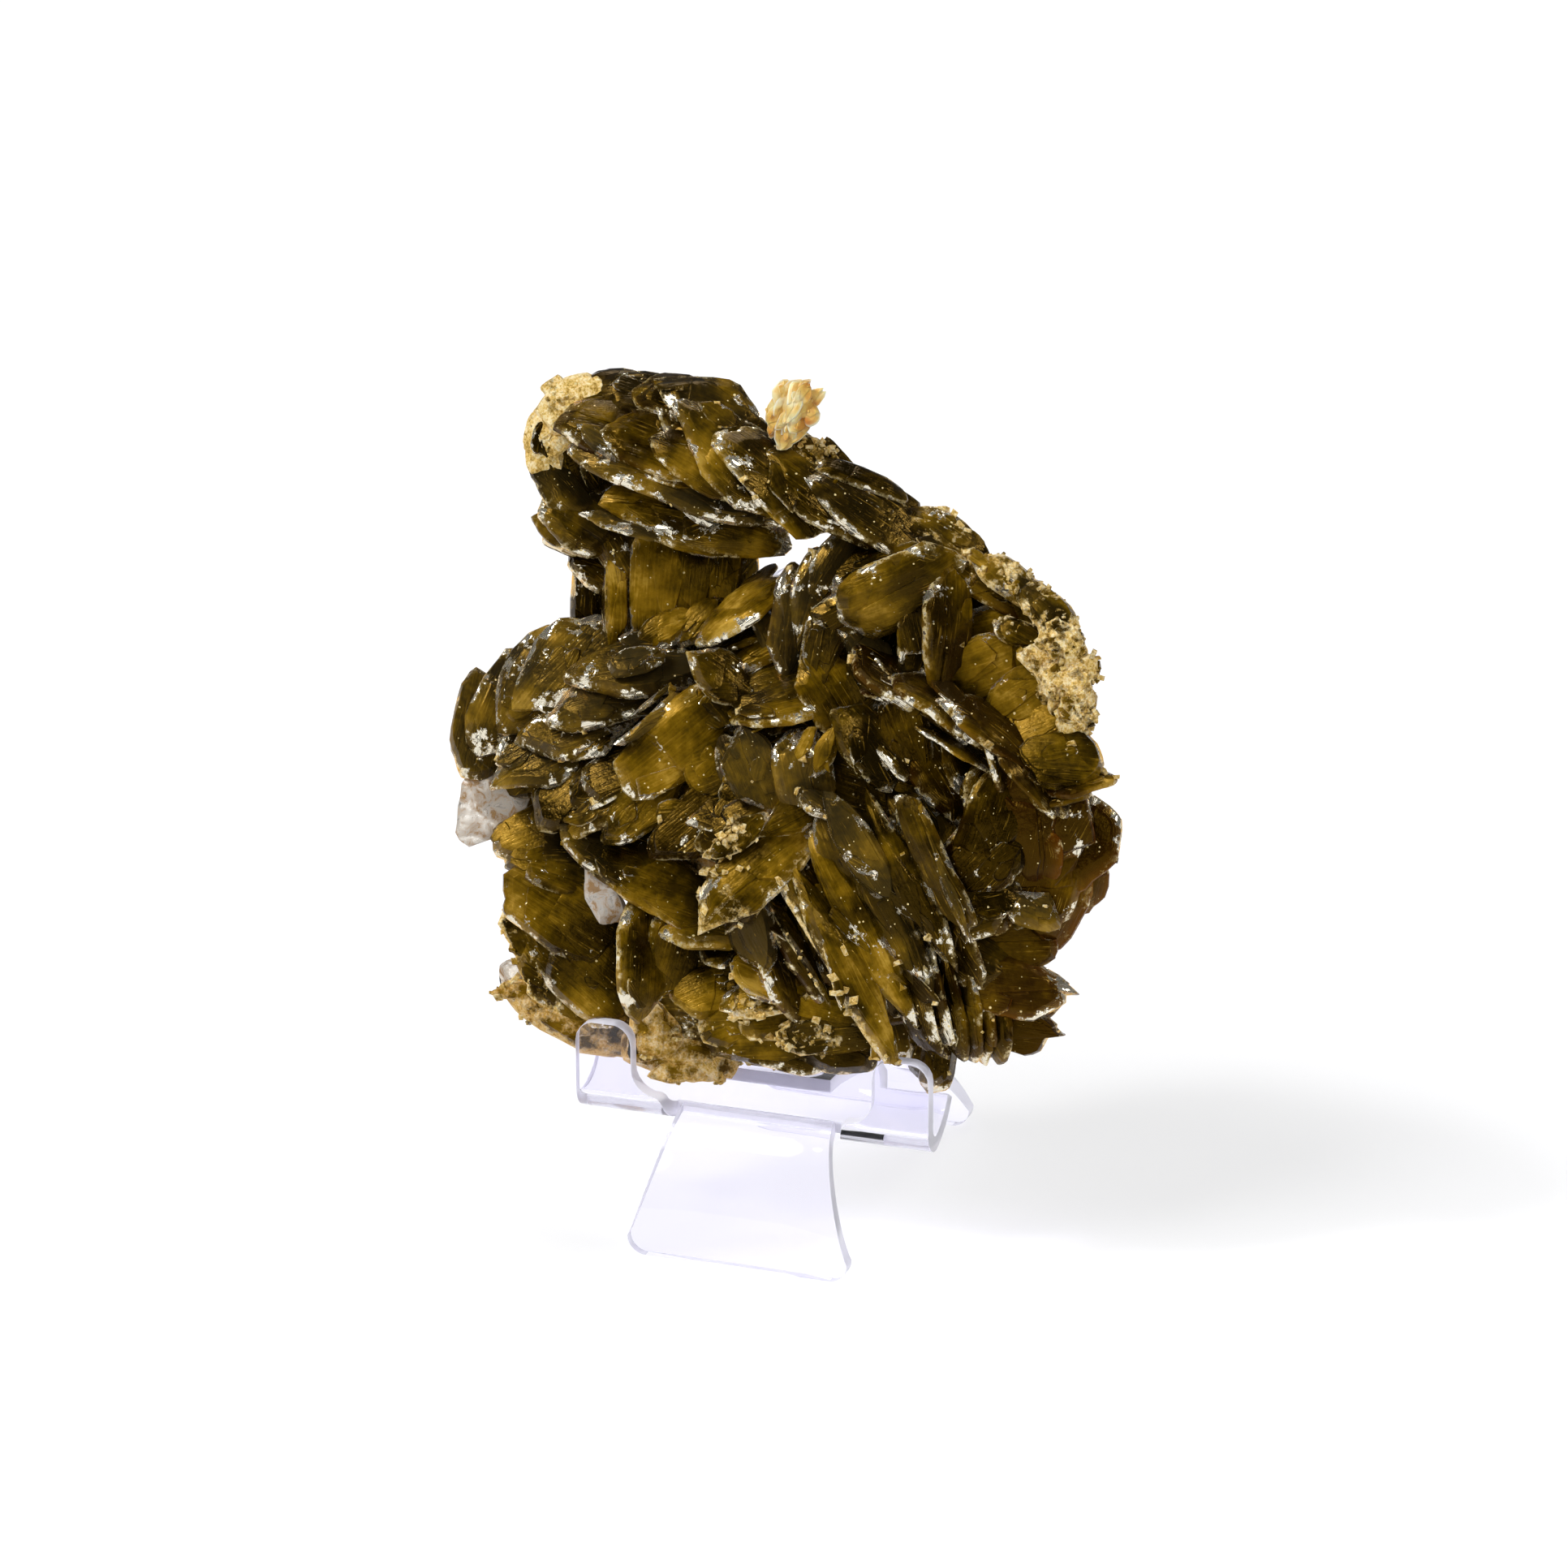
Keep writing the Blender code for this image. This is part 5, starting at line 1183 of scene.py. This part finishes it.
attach(knob, "root")
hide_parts("dolomite_knob")

# ------------------------------------------------------------------------------ easel
#
# Three injection-moulded plates of clear polystyrene, 2 mm thick with rounded edges: a cradle
# with two hooks, and a leg to the front and one to the back, pushed into it.

NOTCH_WIDTH = 21.6           # slot in the trough's front edge for the front leg
HOOK_ROUND = 2.6             # radius of a hook's top corners
HOOK_FLARE = 3.4             # radius by which a hook widens inward at its root
HOOK_ROWS = (0, .06, .2, .5, 1.0, 1.7, 2.6, 4.0, 5.5)    # rows of points, so far below its top
TROUGH_BEND = 2.4            # radius of the bend from a hook into the trough
TROUGH_SWEEP = (             # from its floor up to the back rest: y, z
    (3.8, 16.8), (4.5, 17.06), (5.2, 17.4), (5.9, 17.82), (6.6, 18.3), (7.3, 18.87), (7.9, 19.5),
    (8.45, 20.2),
)
TROUGH_WIDENS = (5.2, 2.5)   # into the back rest: from this y, over this length
NOTCH_EASE = 1.2             # how much wider the slot is at the front than under the stone
REST_ROUND = 6.0             # radius of the back rest's top corners
FRONT_LEG = ((3.4, 16.7), (-4.4, 0.0), (20.0, 29.0))     # top and foot: y, z; widths there
REAR_LEG = ((10.3, 19.0), (47.0, 0.0), (14.4, 28.8))
LEG_SWEEP = 1.15             # 1 sweeps a leg along a quarter ellipse, and more flattens its middle
FOOT_ROUND = 2.4             # radius of a foot's corners, along which it is plumb
EDGE_ROUND = 0.6             # radius moulded along every edge
POLYSTYRENE_IOR = 1.38       # less than a thick block's 1.59, so that fewer lines in the plates go dark


def polystyrene_finish(name, clearness, roughness):
    """Moulded polystyrene: polished and clear on its faces, with a faint lavender cast in its
    depth, and softer and whiter along its edges."""
    made, tree, output = fresh_material(name)
    shader = add(
        tree,
        "BsdfPrincipled",
        {
            "Base Color": linear("#f4f3fd"),
            "Roughness": roughness,
            "IOR": POLYSTYRENE_IOR,
            "Transmission Weight": clearness,
        },
    )
    # It lets the lamps through, so its shadow is as faint as that of clear plastic.
    through = add(tree, "BsdfTransparent", {"Color": linear("#eceaf6")})
    lamp = add(tree, "LightPath").outputs["Is Shadow Ray"]
    both = add(tree, "MixShader", links={0: lamp, 1: shader, 2: through})
    tree.links.new(both.outputs[0], output.inputs["Surface"])
    return made


def drawn_in(distance, radius):
    """How far a rounded corner draws an edge in, so far from its end: radius less the root of
    radius squared less (radius - distance) squared."""
    inside = radius - np.clip(distance, 0, radius)
    return radius - np.sqrt(radius ** 2 - inside ** 2)


def corner_rows(rows):
    """Rows of points along a rounded corner, from nearly 1 to 0 times its radius from its end:
    one less the sine of equal turns, so that they crowd where the edge bends most."""
    return 1 - np.sin(np.linspace(0, 1, rows + 1)[1:] * math.pi / 2)


def moulding(name, path, strips, finish):
    """A curved plate: y and z along a path (n x 2, millimetres), and for each strip its left
    and right edge and where it is filled (n each).  The wall and the round edges follow."""
    across = np.concatenate([np.linspace(left, right, 5) for left, right, _ in strips])
    filled = [np.stack([on & np.roll(on, -1)] * 4 + [on * False]) for *_, on in strips]
    rows = len(path)
    points = np.stack((
        across + EASEL_AT[0],
        np.broadcast_to(path[:, 0] + EASEL_AT[1], across.shape),
        np.broadcast_to(path[:, 1], across.shape),
    ), axis=-1).reshape(-1, 3) * MM
    i, j = np.nonzero(np.concatenate(filled)[:-1, :-1])
    quads = np.stack((i * rows + j, (i + 1) * rows + j, (i + 1) * rows + j + 1, i * rows + j + 1), axis=-1)
    used, quads = np.unique(quads, return_inverse=True)
    made = mesh_object(name + "_moulding", points[used], [quads.reshape(-1, 4)], finish[0], crease=50)
    made.data.materials.append(finish[1])
    welded = made.modifiers.new("weld", "WELD")
    welded.merge_threshold = 0.01 * MM
    wall = made.modifiers.new("wall", "SOLIDIFY")
    wall.thickness = PLATE * MM
    wall.offset = 0
    wall.use_even_offset = True
    wall.material_offset_rim = 1
    edge = made.modifiers.new("round_edges", "BEVEL")
    edge.width = EDGE_ROUND * MM
    edge.segments = 3
    edge.limit_method = "ANGLE"
    edge.angle_limit = math.radians(50)
    edge.material = 1
    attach(made, "root")
    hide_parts(name)
    return made


def cradle():
    """Hooks, trough and back rest as one path, from the hooks' tops to the rest's top: straight
    down, round the bend, up a swept trough, and straight up the rest.  Two outer strips are
    the hooks and the trough's ends, and the middle one the trough and the rest."""
    outer, inner = CRADLE_WIDTH / 2, CRADLE_WIDTH / 2 - HOOK_WIDTH
    y_hook, foot = PLATE / 2, FLOOR_Z + TROUGH_BEND
    flare = HOOK_TOP - foot - HOOK_FLARE * corner_rows(6)
    hook = np.unique(np.round((*HOOK_ROWS, HOOK_TOP - foot - HOOK_FLARE, *flare), 4))
    bend = np.radians(np.linspace(0, 90, 9)[1:])
    length = math.dist(TROUGH_BACK, REST_TOP)
    along = (*np.linspace(0, length - REST_ROUND, 7), *(length - REST_ROUND * corner_rows(7)))
    along = np.array(along)
    rest = np.array(TROUGH_BACK) + (np.array(REST_TOP) - TROUGH_BACK) * along[:, None] / length
    path = np.concatenate((
        np.stack((np.full(len(hook), y_hook), HOOK_TOP - hook), axis=-1),
        np.stack((y_hook + TROUGH_BEND * (1 - np.cos(bend)), foot - TROUGH_BEND * np.sin(bend)), axis=-1),
        TROUGH_SWEEP,
        rest,
    ))
    rows = len(path)
    first_bend, first_sweep, first_rest = len(hook), len(hook) + len(bend), rows - len(rest)
    row = np.arange(rows)
    hook_left = HOOK_TOP - foot - hook
    x2 = np.full(rows, outer)
    x2[:first_bend] -= drawn_in(hook, HOOK_ROUND)
    x1 = np.full(rows, NOTCH_WIDTH / 2)
    x1[:first_bend] = inner + drawn_in(hook, HOOK_ROUND) - drawn_in(hook_left, HOOK_FLARE)
    x1[first_bend:first_sweep] = NOTCH_WIDTH / 2 + NOTCH_EASE * (1 - np.linspace(0, 1, 9)[1:])
    smooth = np.clip((path[first_sweep:first_rest, 0] - TROUGH_WIDENS[0]) / TROUGH_WIDENS[1], 0, 1)
    smooth = smooth * smooth * (3 - 2 * smooth)
    x1[first_sweep:first_rest] += (REST_WIDTHS[0] - NOTCH_WIDTH) / 2 * smooth
    half = np.interp(along, (0, length), (REST_WIDTHS[0] / 2, REST_WIDTHS[1] / 2))
    x1[first_rest:] = half - drawn_in(length - along, REST_ROUND)
    ends, middle = row <= first_rest, row >= first_sweep
    return path, ((-x2, -x1, ends), (-x1, x1, middle), (x1, x2, ends))


def leg(top, foot, widths):
    """A leg as one path: a quarter ellipse, level at its top and plumb at its foot, with a short
    plumb piece below; it widens as it comes down, and its lower corners are rounded."""
    turn = np.linspace(0, math.pi / 2, 25)
    y = top[0] + (foot[0] - top[0]) * np.sin(turn) ** LEG_SWEEP
    z = FOOT_ROUND + (top[1] - FOOT_ROUND) * np.cos(turn) ** LEG_SWEEP
    half = widths[0] / 2 + (widths[1] - widths[0]) / 2 * (1 - np.cos(turn))
    low = FOOT_ROUND * corner_rows(7)
    path = np.concatenate((np.stack((y, z), axis=-1), [(foot[0], height) for height in low]))
    half = np.concatenate((half, np.full(len(low), widths[1] / 2))) - drawn_in(path[:, 1], FOOT_ROUND)
    return path, ((-half, half, np.ones(len(path), bool)),)


polystyrene = (
    polystyrene_finish("clear_moulded_polystyrene", 1.0, 0.03),
    polystyrene_finish("moulded_polystyrene_edge", 0.45, 0.30),
)
moulding("easel_cradle", *cradle(), polystyrene)
moulding("easel_front_leg", *leg(*FRONT_LEG), polystyrene)
moulding("easel_rear_leg", *leg(*REAR_LEG), polystyrene)
